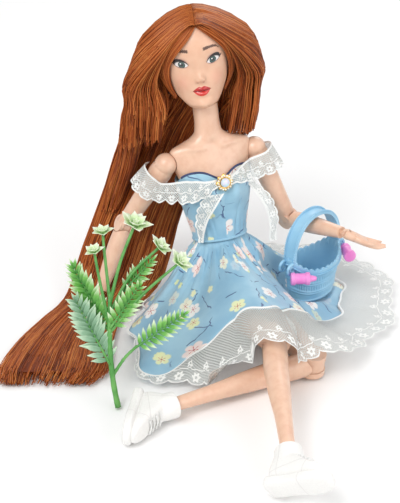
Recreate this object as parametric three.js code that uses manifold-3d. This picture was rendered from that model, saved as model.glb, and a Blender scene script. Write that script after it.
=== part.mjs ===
// A seated fashion doll, about 30 cm when standing, in millimetres with +Z up.
// The doll sits at the origin and faces -Y. Its own right side is at -X.
import * as THREE from 'three';
import { mergeVertices } from 'three/addons/utils/BufferGeometryUtils.js';
import Module from 'manifold-3d';

const wasm = await Module();
wasm.setup();

// Clearances
const FIT = 0.3;
const STEM_FIT = 0.45;
const SOCKET_FIT = 0.7;
const CLOTH_GAP = 0.4;
const FLOOR_GAP = 0.5;

// Skeleton lengths and spacings
const HIP_HEIGHT = 13;
const HIP_SPACING = 22;
const SHOULDER_SPACING = 44;
const SHOULDER_RISE = 66;
const NECK_RISE = 90.6;
const HEAD_RISE = 100.2;
const THIGH_LENGTH = 70;
const SHIN_LENGTH = 78;
const UPPER_ARM_LENGTH = 42;
const FOREARM_LENGTH = 37;

// Limb and joint radii
const SHOULDER_BALL = 6.2;
const HIP_BALL = 8.2;
const HUB_BALL = 3.3;
const HUB_STEM = 1.7;
const HIP_HUB_BALL = 4.4;
const HIP_HUB_STEM = 2.2;
const NECK_RADIUS = 5.9;
const NOD_ROOM = 1.2;
const KNOB_BALL = 3.4;
const KNOB_STEM = 2;
const ELBOW_RADIUS = 4.2;
const KNEE_RADIUS = 6.1;
const ANKLE_RADIUS = 3;
const ANKLE_BALL = 2.9;
const TONGUE_SHARE = 0.36;
const PIN_SHARE = 0.26;
const HINGE_FLEX = 95;
const HINGE_SPREAD = 33;
const WRIST_RADIUS = 3;
const WRIST_PEG = 1.2;
const WRIST_BEND = 75;

// Pose of the body, headings from -Y toward +X and lifts above level, in degrees
const TORSO_HEADING = 20;
const TORSO_RECLINE = 10.6;
const TORSO_LEAN = 6.6;
const HEAD_HEADING = 12;
const HEAD_TILT = -4.5;
const HEAD_PITCH = 6;
const HEAD_SET = -2;
const SHOULDER_RAISE_LIMIT = 60;
const HIP_SPREAD_LIMIT = 26;
const SLOT_SPREAD = 38;
const RESTING_WRIST = 8;
const POSE = {
  right: {
    thigh: [26.3, 7.8], shin: [2.6, -7.6], footDrop: 22,
    upperArm: [-104.8, -58.8], forearm: [-46, null], hand: [-30, -12],
  },
  left: {
    thigh: [24, -5.2], shin: [-61.7, 0], footDrop: 37,
    upperArm: [81.2, -64.7], forearm: [45, 7.9], hand: [96, -27],
  },
};

// Sneaker
const LACE_BAR = 0.8;
const SHOE_TOP = [[4, 2.4], [10, -1], [16, -3.8]];

// Dress
const CLOTH = 0.9;
const WAIST_RISE = 26;
const BUST_RISE = 49;
const BUST_DEPTH = 3.6;
const NECKLINE_RISE = 61;
const NECKLINE_DIP = 4.5;
const SKIRT_FOLDS = 13;
const SKIRT_FOLD_DEPTH = 1.5;
const LACE_FOLDS = 15;
const LACE_FOLD_DEPTH = 0.9;
const LACE_WIDTH = 13;
const BROOCH_RADIUS = 4.4;

// Carrier, bottles and sprig
const CARRIER_LENGTH = 33;
const CARRIER_WIDTH = 21;
const CARRIER_DEPTH = 19.5;
const CARRIER_WALL = 1.3;
const CARRIER_BASE = 4.2;
const HANDLE_WIDTH = 7;
const BOTTLE_LENGTH = 12.5;
const BOTTLE_RADIUS = 3.1;
const SPRIG_LEAN = 28;
const SPRIG_BASE = [-48.5, -87, 0.55];
const SPRIG_STEM = 1.05;
const LEAF_THICKNESS = 0.9;
const FLOWER_RADIUS = 7.5;

const rad = THREE.MathUtils.degToRad;
const point = (x, y, z) => new THREE.Vector3(x, y, z);
const lerp = THREE.MathUtils.lerp;
const SIDES = [{ key: 'right', sign: -1 }, { key: 'left', sign: 1 }];

function heading(angle, lift) {
  const level = Math.cos(rad(lift));
  return point(Math.sin(rad(angle)) * level, -Math.cos(rad(angle)) * level, Math.sin(rad(lift)));
}

function along(start, direction, length) {
  return start.clone().addScaledVector(direction, length);
}

// A frame with its Z axis given and its X axis as near as can be to a hint.
function frameAt(origin, zAxis, xHint) {
  const z = zAxis.clone().normalize();
  const y = z.clone().cross(xHint).normalize();
  const x = y.clone().cross(z);
  return new THREE.Matrix4().makeBasis(x, y, z).setPosition(origin);
}

function axisOf(frame, column) {
  return new THREE.Vector3().setFromMatrixColumn(frame, column);
}

function inFrame(frame, x, y, z) {
  return point(x, y, z).applyMatrix4(frame);
}

// Smooth value through a list of [place, value] pairs.
function profile(pairs, place) {
  const last = pairs.length - 1;
  if (place <= pairs[0][0]) return pairs[0][1];
  if (place >= pairs[last][0]) return pairs[last][1];
  let step = 0;
  while (place > pairs[step + 1][0]) step += 1;
  const [from, low] = pairs[step];
  const [to, high] = pairs[step + 1];
  const share = (place - from) / (to - from);
  const slope = (at) => {
    const before = pairs[Math.max(at - 1, 0)];
    const after = pairs[Math.min(at + 1, last)];
    return (after[1] - before[1]) / (after[0] - before[0]);
  };
  const span = to - from;
  const square = share * share;
  const cube = square * share;
  return (2 * cube - 3 * square + 1) * low + (cube - 2 * square + share) * span * slope(step)
    + (3 * square - 2 * cube) * high + (cube - square) * span * slope(step + 1);
}

function smoothMax(a, b, width) {
  const mix = Math.max(width - Math.abs(a - b), 0) / width;
  return Math.max(a, b) + mix * mix * width * 0.25;
}

function hump(distance, width) {
  return Math.exp(-((distance / width) ** 2));
}

function solidFrom(positions, triangles) {
  const make = (list) => new wasm.Manifold(new wasm.Mesh({
    numProp: 3,
    vertProperties: new Float32Array(positions),
    triVerts: new Uint32Array(list),
  }));
  const first = make(triangles);
  if (first.volume() > 0) return first;
  const turned = [];
  for (let at = 0; at < triangles.length; at += 3) {
    turned.push(triangles[at], triangles[at + 2], triangles[at + 1]);
  }
  return make(turned);
}

function solid(geometry) {
  geometry.deleteAttribute('normal');
  geometry.deleteAttribute('uv');
  const merged = mergeVertices(geometry, 1e-4);
  return solidFrom(merged.attributes.position.array, Array.from(merged.index.array));
}

// A skin over a row of rings. It is capped at both ends, or runs back to its first ring, and then the
// returning half is split along the same diagonals as the first, so that a thin shell keeps its wall.
function skin(rings, looped = false) {
  const count = rings[0].length;
  const positions = [];
  for (const ring of rings) {
    for (const spot of ring) positions.push(spot.x, spot.y, spot.z);
  }
  const triangles = [];
  const spans = looped ? rings.length : rings.length - 1;
  for (let row = 0; row < spans; row += 1) {
    const next = ((row + 1) % rings.length) * count;
    for (let col = 0; col < count; col += 1) {
      const beside = (col + 1) % count;
      const a = row * count + col;
      const b = row * count + beside;
      const c = next + beside;
      const d = next + col;
      if (looped && row >= rings.length / 2) triangles.push(a, b, d, b, c, d);
      else triangles.push(a, b, c, a, c, d);
    }
  }
  if (!looped) {
    for (const row of [0, rings.length - 1]) {
      const centre = new THREE.Vector3();
      for (const spot of rings[row]) centre.addScaledVector(spot, 1 / count);
      const hub = positions.length / 3;
      positions.push(centre.x, centre.y, centre.z);
      for (let col = 0; col < count; col += 1) {
        const a = row * count + col;
        const b = row * count + (col + 1) % count;
        if (row === 0) triangles.push(hub, b, a);
        else triangles.push(hub, a, b);
      }
    }
  }
  return solidFrom(positions, triangles);
}

// A limb along -Z of its frame. Each station is [z, half width, front, back, shift in y].
function limb(frame, stations, sides = 8) {
  const rings = stations.map(([z, half, front, back, shift = 0]) => {
    const ring = [];
    for (let side = 0; side < sides; side += 1) {
      const turn = (side / sides) * 2 * Math.PI;
      const depth = Math.cos(turn) > 0 ? front : back;
      ring.push(inFrame(frame, half * Math.sin(turn), shift - depth * Math.cos(turn), z));
    }
    return ring;
  });
  return skin(rings);
}

// A tube through stations of {at, across, through}, with an oval section.
function ovalTube(stations, sides) {
  return skin(stations.map(({ at, across, through }) => {
    const ring = [];
    for (let side = 0; side < sides; side += 1) {
      const turn = (side / sides) * 2 * Math.PI;
      ring.push(at.clone().addScaledVector(across, Math.cos(turn)).addScaledVector(through, Math.sin(turn)));
    }
    return ring;
  }));
}

function rod(from, to, radius, sides = 8, endRadius = radius) {
  const run = to.clone().sub(from);
  const shape = new THREE.CylinderGeometry(endRadius, radius, run.length(), sides);
  const turn = new THREE.Quaternion().setFromUnitVectors(point(0, 1, 0), run.normalize());
  shape.applyQuaternion(turn);
  const middle = from.clone().add(to).multiplyScalar(0.5);
  return solid(shape.translate(middle.x, middle.y, middle.z));
}

function ball(centre, radius, sides = 10) {
  const shape = new THREE.SphereGeometry(radius, sides, Math.round(sides / 2));
  return solid(shape.translate(centre.x, centre.y, centre.z));
}

function block(frame, size, centre) {
  const shape = new THREE.BoxGeometry(...size).translate(...centre);
  return solid(shape.applyMatrix4(frame));
}

// A fan-shaped prism about the X axis of a frame, from one turn to another, measured from -Z toward +Y.
function fan(frame, fromTurn, toTurn, radius, half) {
  const steps = 4;
  const ring = (x) => {
    const spots = [inFrame(frame, x, 0, 0)];
    for (let step = 0; step <= steps; step += 1) {
      const turn = rad(lerp(fromTurn, toTurn, step / steps));
      spots.push(inFrame(frame, x, radius * Math.sin(turn), -radius * Math.cos(turn)));
    }
    return spots;
  };
  return skin([ring(-half), ring(half)]);
}

function union(...pieces) {
  return pieces.reduce((whole, piece) => whole.add(piece));
}

const doll = new THREE.Group();
doll.name = 'seated_doll';

const LOOKS = {
  skin: ['#f2c3a6', 0.5, 0],
  hair: ['#8a3f1c', 0.45, 0],
  dress: ['#86bfe0', 0.55, 0],
  lace: ['#f3efe9', 0.8, 0],
  shoe: ['#f4f4f2', 0.5, 0],
  gold: ['#c9a65a', 0.35, 1],
  gem: ['#cfe9df', 0.1, 0],
  carrier: ['#8fc0e6', 0.45, 0],
  bottle: ['#ee6fb4', 0.35, 0],
  stem: ['#6fae4c', 0.55, 0],
  leaf: ['#3f8f46', 0.55, 0],
  flower: ['#eef3dc', 0.6, 0],
};

const FACET_TOLERANCE = 0.05;

function add(name, look, piece) {
  const mesh = piece.simplify(FACET_TOLERANCE).getMesh();
  const geometry = new THREE.BufferGeometry();
  geometry.setAttribute('position', new THREE.BufferAttribute(new Float32Array(mesh.vertProperties), 3));
  geometry.setIndex(Array.from(mesh.triVerts));
  geometry.computeVertexNormals();
  const [color, roughness, metalness] = LOOKS[look];
  const node = new THREE.Mesh(geometry, new THREE.MeshStandardMaterial({ color, roughness, metalness }));
  node.name = name;
  doll.add(node);
}

// Torso frame: origin between the hips, Z up the spine, -Y to the front
const spine = point(-Math.sin(rad(TORSO_LEAN)), Math.sin(rad(TORSO_RECLINE)), 1);
const hips = point(0, 0, HIP_HEIGHT);
const torso = frameAt(hips, spine, point(Math.cos(rad(TORSO_HEADING)), Math.sin(rad(TORSO_HEADING)), 0));
const inTorso = (x, y, z) => inFrame(torso, x, y, z);
const lateral = axisOf(torso, 0);
const forward = axisOf(torso, 1).negate();
const upward = axisOf(torso, 2);

const hipHalf = HIP_SPACING / 2 + 5;
const chestHalf = SHOULDER_SPACING / 2 - 5;
const TORSO_HALF = [[-13, 8], [-4, hipHalf - 1], [2, hipHalf + 0.4], [10, hipHalf - 0.4], [20, 12], [27, 11.2],
  [36, 13.2], [46, 15.4], [55, chestHalf - 0.4], [61, chestHalf + 1.6], [67, chestHalf + 2.6],
  [70.5, chestHalf - 0.5], [73, 10.5], [76.5, NECK_RADIUS + 0.6], [NECK_RISE, NECK_RADIUS]];
const TORSO_FRONT = [[-13, 4], [-4, 8.6], [6, 10], [20, 8.8], [27, 8.4], [38, 9.4], [49, 10.6], [58, 9.6],
  [66, 7], [72, 5.8], [78, NECK_RADIUS], [NECK_RISE, NECK_RADIUS]];
const TORSO_BACK = [[-13, 7], [-6, 12.6], [4, 13], [16, 9.6], [27, 7.8], [40, 9], [54, 10], [66, 8.4],
  [72, 6.6], [78, NECK_RADIUS], [NECK_RISE, NECK_RADIUS]];

// A point on the torso, at a turn from the front toward +X, held off the skin by a distance.
function torsoPoint(turn, rise, off = 0) {
  const half = profile(TORSO_HALF, rise) + off;
  const depth = (Math.cos(turn) > 0 ? profile(TORSO_FRONT, rise) : profile(TORSO_BACK, rise)) + off;
  const x = half * Math.sin(turn);
  const cups = hump(Math.abs(x) - 6.4, 4.6) * hump(rise - BUST_RISE, 6.5);
  const chest = Math.cos(turn) > 0 ? BUST_DEPTH * cups * Math.cos(turn) : 0;
  return inTorso(x, -depth * Math.cos(turn) - chest, rise);
}

function torsoRing(rise, off = 0, sides = 18) {
  const ring = [];
  for (let side = 0; side < sides; side += 1) {
    const turn = (side / sides) * 2 * Math.PI;
    ring.push(torsoPoint(turn, typeof rise === 'function' ? rise(turn) : rise, off));
  }
  return ring;
}

const shoulders = {};
const hipJoints = {};
for (const { key, sign } of SIDES) {
  shoulders[key] = inTorso(sign * SHOULDER_SPACING / 2, 0, SHOULDER_RISE);
  hipJoints[key] = along(hips, heading(TORSO_HEADING + 90, 0), sign * HIP_SPACING / 2);
}

// Arms and legs as joints and directions
const bones = {};
for (const { key } of SIDES) {
  const pose = POSE[key];
  const thigh = heading(...pose.thigh);
  const shin = heading(...pose.shin);
  const knee = along(hipJoints[key], thigh, THIGH_LENGTH);
  const ankle = along(knee, shin, SHIN_LENGTH);
  const upperArm = heading(...pose.upperArm);
  const elbow = along(shoulders[key], upperArm, UPPER_ARM_LENGTH);
  const restingLift = THREE.MathUtils.radToDeg(Math.asin((RESTING_WRIST - elbow.z) / FOREARM_LENGTH));
  const forearm = heading(pose.forearm[0], pose.forearm[1] ?? restingLift);
  const wrist = along(elbow, forearm, FOREARM_LENGTH);
  const hand = heading(...pose.hand);
  const kneeAxis = thigh.clone().cross(shin).normalize();
  const elbowAxis = forearm.clone().cross(upperArm).normalize();
  const wristAxis = hand.clone().cross(point(0, 0, 1)).normalize();
  bones[key] = {
    thigh, shin, knee, ankle, upperArm, forearm, elbow, wrist, hand, kneeAxis, elbowAxis, wristAxis,
  };
}

// A hub: a ball in the limb, a stem and a flange in the trunk. The same form, held off by a
// clearance, is the cavity that it runs in.
function hubForm(centre, inward, ballRadius, stemRadius, reach, off) {
  const flangeFrom = along(centre, inward, reach - 2 - off);
  const flangeTo = along(centre, inward, reach + off);
  return {
    ball: ball(centre, ballRadius + off, 8),
    stem: rod(centre, flangeTo, stemRadius + off, 6),
    flange: rod(flangeFrom, flangeTo, stemRadius * 1.7 + 2 * off, 6),
  };
}

// The slot that a hub's stem needs while the limb is raised about an axis through the ball.
function raiseSlot(centre, inward, axis, limit, half) {
  const slotFrame = frameAt(centre, inward.clone().negate(), axis);
  return fan(slotFrame, -limit - SLOT_SPREAD, SLOT_SPREAD, HIP_BALL * 1.3, half);
}

// Trunk: one form, parted into a front and a back shell above and a pelvis below
const PELVIS_SPLIT = 15;
const trunkRises = [-13, -8, 0, 9, 19, 27, 38, 45, 50, 56, 62, 67, 70, 73, 77, NECK_RISE];
let trunk = skin(trunkRises.map((rise) => torsoRing(rise)));
trunk = trunk.add(ball(inTorso(0, 0, NECK_RISE), NECK_RADIUS, 12));
const knobTop = inTorso(0, 0, HEAD_RISE);
const knobDown = upward.clone().negate();
const KNOB_REACH = 24;
const knobRoom = hubForm(knobTop, knobDown, KNOB_BALL, KNOB_STEM, KNOB_REACH, STEM_FIT);
trunk = trunk.subtract(knobRoom.stem).subtract(knobRoom.flange);
const LEG_OPENING = { right: [0, 22, 44], left: [0, -16] };
const SHOULDER_REACH = 13;
const HIP_REACH = 9.6;
for (const { key, sign } of SIDES) {
  const inward = lateral.clone().multiplyScalar(-sign);
  const room = hubForm(shoulders[key], inward, HUB_BALL, HUB_STEM, SHOULDER_REACH, STEM_FIT);
  trunk = trunk.subtract(ball(shoulders[key], SHOULDER_BALL + SOCKET_FIT, 12));
  trunk = trunk.subtract(room.stem).subtract(room.flange);
  const hipInward = heading(TORSO_HEADING + 90, 0).multiplyScalar(-sign);
  const hipRoom = hubForm(hipJoints[key], hipInward, HIP_HUB_BALL, HIP_HUB_STEM, HIP_REACH, STEM_FIT);
  trunk = trunk.subtract(ball(hipJoints[key], HIP_BALL + SOCKET_FIT, 12));
  trunk = trunk.subtract(hipRoom.stem).subtract(hipRoom.flange);
  for (const rise of LEG_OPENING[key]) {
    const [turn, lift] = POSE[key].thigh;
    const far = along(hipJoints[key], heading(turn, lift + rise), HIP_BALL * 3);
    trunk = trunk.subtract(rod(hipJoints[key], far, HIP_BALL + SOCKET_FIT, 12));
  }
}
const BIG = 220;
const away = (BIG + FIT) / 2;
const halfBox = (side) => block(torso, [BIG, BIG, BIG], [0, side * away, PELVIS_SPLIT + away]);
add('torso_front', 'skin', trunk.intersect(halfBox(-1)));
add('torso_back', 'skin', trunk.intersect(halfBox(1)));
const lowBox = block(torso, [BIG, BIG, BIG], [0, 0, PELVIS_SPLIT - away]);
const aboveFloor = solid(new THREE.BoxGeometry(BIG, BIG, BIG).translate(0, 0, BIG / 2));
add('pelvis', 'skin', trunk.intersect(lowBox).intersect(aboveFloor));

// Head: rings from the jaw to the crown, with the face drawn forward by smooth humps
const headFrame = frameAt(
  knobTop,
  point(Math.sin(rad(HEAD_TILT)), Math.sin(rad(HEAD_PITCH)), 1),
  point(Math.cos(rad(HEAD_HEADING)), Math.sin(rad(HEAD_HEADING)), 0),
);
const HEAD_HALF = [[-12, 8.6], [-9, 9.2], [-6, 10], [-2, 11.6], [3, 13.6], [9, 15], [16, 15.6], [23, 15],
  [29, 12], [33, 7.6], [35, 2]];
const HEAD_FRONT = [[-12, 8], [-9, 11.6], [-6, 13.2], [-2, 13.2], [4, 13.6], [10, 13.4], [16, 14.6], [23, 14.2],
  [29, 11], [33, 6.6], [35, 1.6]];
const HEAD_BACK = [[-12, 9], [-6, 9.6], [0, 11.6], [6, 15.6], [14, 18.6], [22, 18.4], [28, 15], [33, 9],
  [35, 2]];

// The face's own axes: across and up from a spot between the eyes and the nose, rolled a little
const FACE_ARC = -1.6;
const FACE_RADIUS = 13.5;
const FACE_RISE = 8;
const FACE_ROLL = rad(5);
function faceAxes(arc, rise) {
  const across = arc - FACE_ARC;
  const up = rise - FACE_RISE;
  return [across * Math.cos(FACE_ROLL) + up * Math.sin(FACE_ROLL),
    up * Math.cos(FACE_ROLL) - across * Math.sin(FACE_ROLL)];
}

function headPoint(turn, rise, off = 0) {
  const half = profile(HEAD_HALF, rise) + off;
  const depth = (Math.cos(turn) > 0 ? profile(HEAD_FRONT, rise) : profile(HEAD_BACK, rise)) + off;
  const x = half * Math.sin(turn);
  const y = -depth * Math.cos(turn);
  const [u, v] = faceAxes(FACE_RADIUS * Math.atan2(x, -y), rise);
  const bridge = 1 * hump(u, 1.5) * hump(v - 1.8, 4.2);
  const tip = 2.5 * hump(u, 1.7) * hump(v + 1.4, 1.8);
  const lips = 0.9 * hump(u, 3) * hump(v + 7.7, 1.9);
  const chin = 1.3 * hump(u, 3.6) * hump(v + 15, 2.4);
  const sockets = -0.8 * hump(Math.abs(u) - 7.5, 3.2) * hump(v - 5.75, 2.8);
  const forwardBy = Math.max(Math.cos(turn), 0) * (bridge + tip + lips + chin + sockets);
  return inFrame(headFrame, x + HEAD_SET, y - forwardBy, rise);
}

function headRings(rises, off = 0, sides = 18) {
  return rises.map((rise) => {
    const ring = [];
    for (let side = 0; side < sides; side += 1) {
      const even = (side / sides) * 2 * Math.PI;
      ring.push(headPoint(even - 0.35 * Math.sin(even) + FACE_ARC / FACE_RADIUS, rise, off));
    }
    return ring;
  });
}
const HEAD_RISES = [-12, -9, -6.6, -3.4, -1.4, 0.8, 2.6, 4.3, 6.4, 9.6, 14, 20, 27, 32, 34.8];
const neckRoom = union(
  ball(inTorso(0, 0, NECK_RISE), NECK_RADIUS + NOD_ROOM, 12),
  rod(
    inTorso(0, 0, NECK_RISE),
    inTorso(0, 0, NECK_RISE - 9),
    NECK_RADIUS + NOD_ROOM,
    12,
    NECK_RADIUS + 2.4 * NOD_ROOM,
  ),
);
const ballRoom = ball(knobTop, KNOB_BALL + SOCKET_FIT, 8);
const stemRoom = rod(knobTop, inTorso(0, 0, NECK_RISE), KNOB_STEM + FIT, 14, KNOB_STEM + 2);
add('head', 'skin', skin(headRings(HEAD_RISES)).subtract(neckRoom).subtract(ballRoom).subtract(stemRoom));
const knob = hubForm(knobTop, knobDown, KNOB_BALL, KNOB_STEM, KNOB_REACH, 0);
add('neck_knob', 'skin', union(knob.ball, knob.stem, knob.flange));

// A hinge between two limbs: a fork on the upper limb, a tongue on the lower one and a pin
function hinge(centre, axis, radius, off = 0) {
  const half = radius * TONGUE_SHARE + off;
  const pinHalf = radius * 0.86 + off;
  return {
    half,
    tongue: rod(along(centre, axis, -half), along(centre, axis, half), radius - FIT + 2 * off, 10),
    pin: rod(along(centre, axis, -pinHalf), along(centre, axis, pinHalf), radius * PIN_SHARE + off, 6),
    barrel: rod(along(centre, axis, -pinHalf), along(centre, axis, pinHalf), radius + off, 12),
  };
}

// The lower limb bends from straight toward +Y of the upper limb's frame, or toward -Y if bend is -1.
function hingedPair(upper, lower, centre, axis, upperDirection, lowerDirection, radius, bend) {
  const made = hinge(centre, axis, radius);
  const room = hinge(centre, axis, radius, FIT);
  const clear = rod(along(centre, axis, -BIG / 2), along(centre, axis, BIG / 2), radius + FIT, 12);
  const upperEnd = along(centre, upperDirection, -radius * 4);
  const relief = rod(centre, upperEnd, radius * 1.05 + FIT, 12, radius * 1.15 + FIT);
  const neckLength = radius * 1.7;
  const neckFrame = frameAt(centre, lowerDirection.clone().negate(), axis);
  const neck = block(neckFrame, [made.half * 2, radius, neckLength], [0, 0, -neckLength / 2]);
  const slotFrame = frameAt(centre, upperDirection.clone().negate(), axis);
  const ends = [-HINGE_SPREAD * bend, (HINGE_FLEX + HINGE_SPREAD) * bend].sort((a, b) => a - b);
  const slot = room.tongue.add(fan(slotFrame, ends[0], ends[1], neckLength, room.half));
  return {
    upper: upper.add(made.barrel).subtract(slot).subtract(room.pin),
    lower: lower.subtract(clear).subtract(relief).add(made.tongue).add(neck).subtract(room.pin),
    pin: made.pin,
  };
}

// Arms
const armFrames = {};
for (const { key, sign } of SIDES) {
  const bone = bones[key];
  const inward = lateral.clone().multiplyScalar(-sign);
  const hub = hubForm(shoulders[key], inward, HUB_BALL, HUB_STEM, SHOULDER_REACH, 0);
  add(`${key}_shoulder_hub`, 'skin', union(hub.ball, hub.stem, hub.flange));
  const upperFrame = frameAt(shoulders[key], bone.upperArm.clone().negate(), bone.elbowAxis);
  const lowerFrame = frameAt(bone.elbow, bone.forearm.clone().negate(), bone.elbowAxis);
  armFrames[key] = { upperFrame, lowerFrame };
  const raiseAxis = inward.clone().cross(bone.upperArm).normalize();
  const slot = raiseSlot(shoulders[key], inward, raiseAxis, SHOULDER_RAISE_LIMIT, HUB_STEM + FIT);
  const length = UPPER_ARM_LENGTH;
  const upperLoft = limb(upperFrame, [
    [-1, 4.6, 4.6, 4.6], [-5, 5.5, 5.3, 5.5], [-12, 5.3, 5.3, 5.5], [-20, 4.9, 5.1, 5.1], [-30, 4.5, 4.6, 4.6],
    [4 - length, ELBOW_RADIUS, ELBOW_RADIUS, ELBOW_RADIUS],
    [-length, ELBOW_RADIUS - 0.2, ELBOW_RADIUS - 0.4, ELBOW_RADIUS - 0.4],
  ]);
  const upper = upperLoft.add(ball(shoulders[key], SHOULDER_BALL, 10));
  const reach = FOREARM_LENGTH - WRIST_RADIUS;
  const lower = limb(lowerFrame, [
    [-1, 3.8, 3.8, 3.8], [-5, 4.3, 4.2, 4.3], [-11, 4.6, 4.4, 4.4], [-20, 4.1, 4, 4], [4 - reach, 3.3, 3.1, 3.1],
    [-reach, WRIST_RADIUS, 2.7, 2.7],
  ]);
  const pair = hingedPair(
    upper, lower, bone.elbow, bone.elbowAxis, bone.upperArm, bone.forearm, ELBOW_RADIUS, -1,
  );
  const cavity = ball(shoulders[key], HUB_BALL + SOCKET_FIT, 8);
  add(`${key}_upper_arm`, 'skin', pair.upper.subtract(cavity).subtract(slot));
  add(`${key}_elbow_pin`, 'skin', pair.pin);
  const pegDeep = along(bone.wrist, bone.forearm, -11);
  const pegRoom = rod(pegDeep, bone.wrist, WRIST_PEG + FIT, 12);
  add(`${key}_forearm`, 'skin', pair.lower.subtract(pegRoom));

  // Wrist peg: a stem that turns in the forearm and a flat tongue that bends in the hand
  const tongueHalf = 0.9;
  const tongueRadius = WRIST_RADIUS - 0.7;
  const pegTongue = (off) => rod(
    along(bone.wrist, bone.wristAxis, -tongueHalf - off),
    along(bone.wrist, bone.wristAxis, tongueHalf + off),
    tongueRadius + off,
    10,
  );
  const pegStem = rod(along(pegDeep, bone.forearm, FIT), bone.wrist, WRIST_PEG, 12);
  add(`${key}_wrist_peg`, 'skin', pegStem.add(pegTongue(0)));

  // Hand: palm, four fingers and a thumb
  const handFrame = frameAt(bone.wrist, bone.hand.clone().negate(), bone.wristAxis);
  let hand = limb(handFrame, [
    [1.2, 2.3, 2, 2], [0, 2.8, 2.4, 2.4], [-3, 3.1, 2.2, 2.4], [-7, 3.9, 1.8, 2], [-10, 4, 1.5, 1.7],
    [-11.2, 3.6, 1.1, 1.3],
  ]);
  const finger = (spots, radii) => ovalTube(spots.map((spot, at) => ({
    at: inFrame(handFrame, ...spot),
    across: axisOf(handFrame, 0).multiplyScalar(radii[at]),
    through: axisOf(handFrame, 1).multiplyScalar(radii[at]),
  })), 5);
  for (const [x, reachOut] of [[-3, 9.2], [-1.02, 10.8], [0.96, 10.4], [2.92, 8]]) {
    const spots = [[x, 0, -9], [x * 1.12, 0.6, -10 - reachOut * 0.55], [x * 1.16, 1.9, -10.4 - reachOut]];
    hand = hand.add(finger(spots, [1.15, 1, 0.6]));
  }
  const thumbSpots = [[sign * 2.2, 0.6, -3.6], [sign * 5.2, 1.6, -9], [sign * 5.4, 2.4, -13]];
  hand = hand.add(finger(thumbSpots, [1.6, 1.15, 0.65]));
  const bendFrame = frameAt(bone.wrist, bone.forearm, bone.wristAxis);
  const bendRoom = fan(bendFrame, -WRIST_BEND, WRIST_BEND, 7, WRIST_PEG + FIT).add(pegTongue(FIT));
  const cuff = ball(along(bone.wrist, bone.forearm, -WRIST_RADIUS - 2.2), WRIST_RADIUS + 1.6, 10);
  add(`${key}_hand`, 'skin', hand.subtract(bendRoom).subtract(cuff));
}

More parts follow.
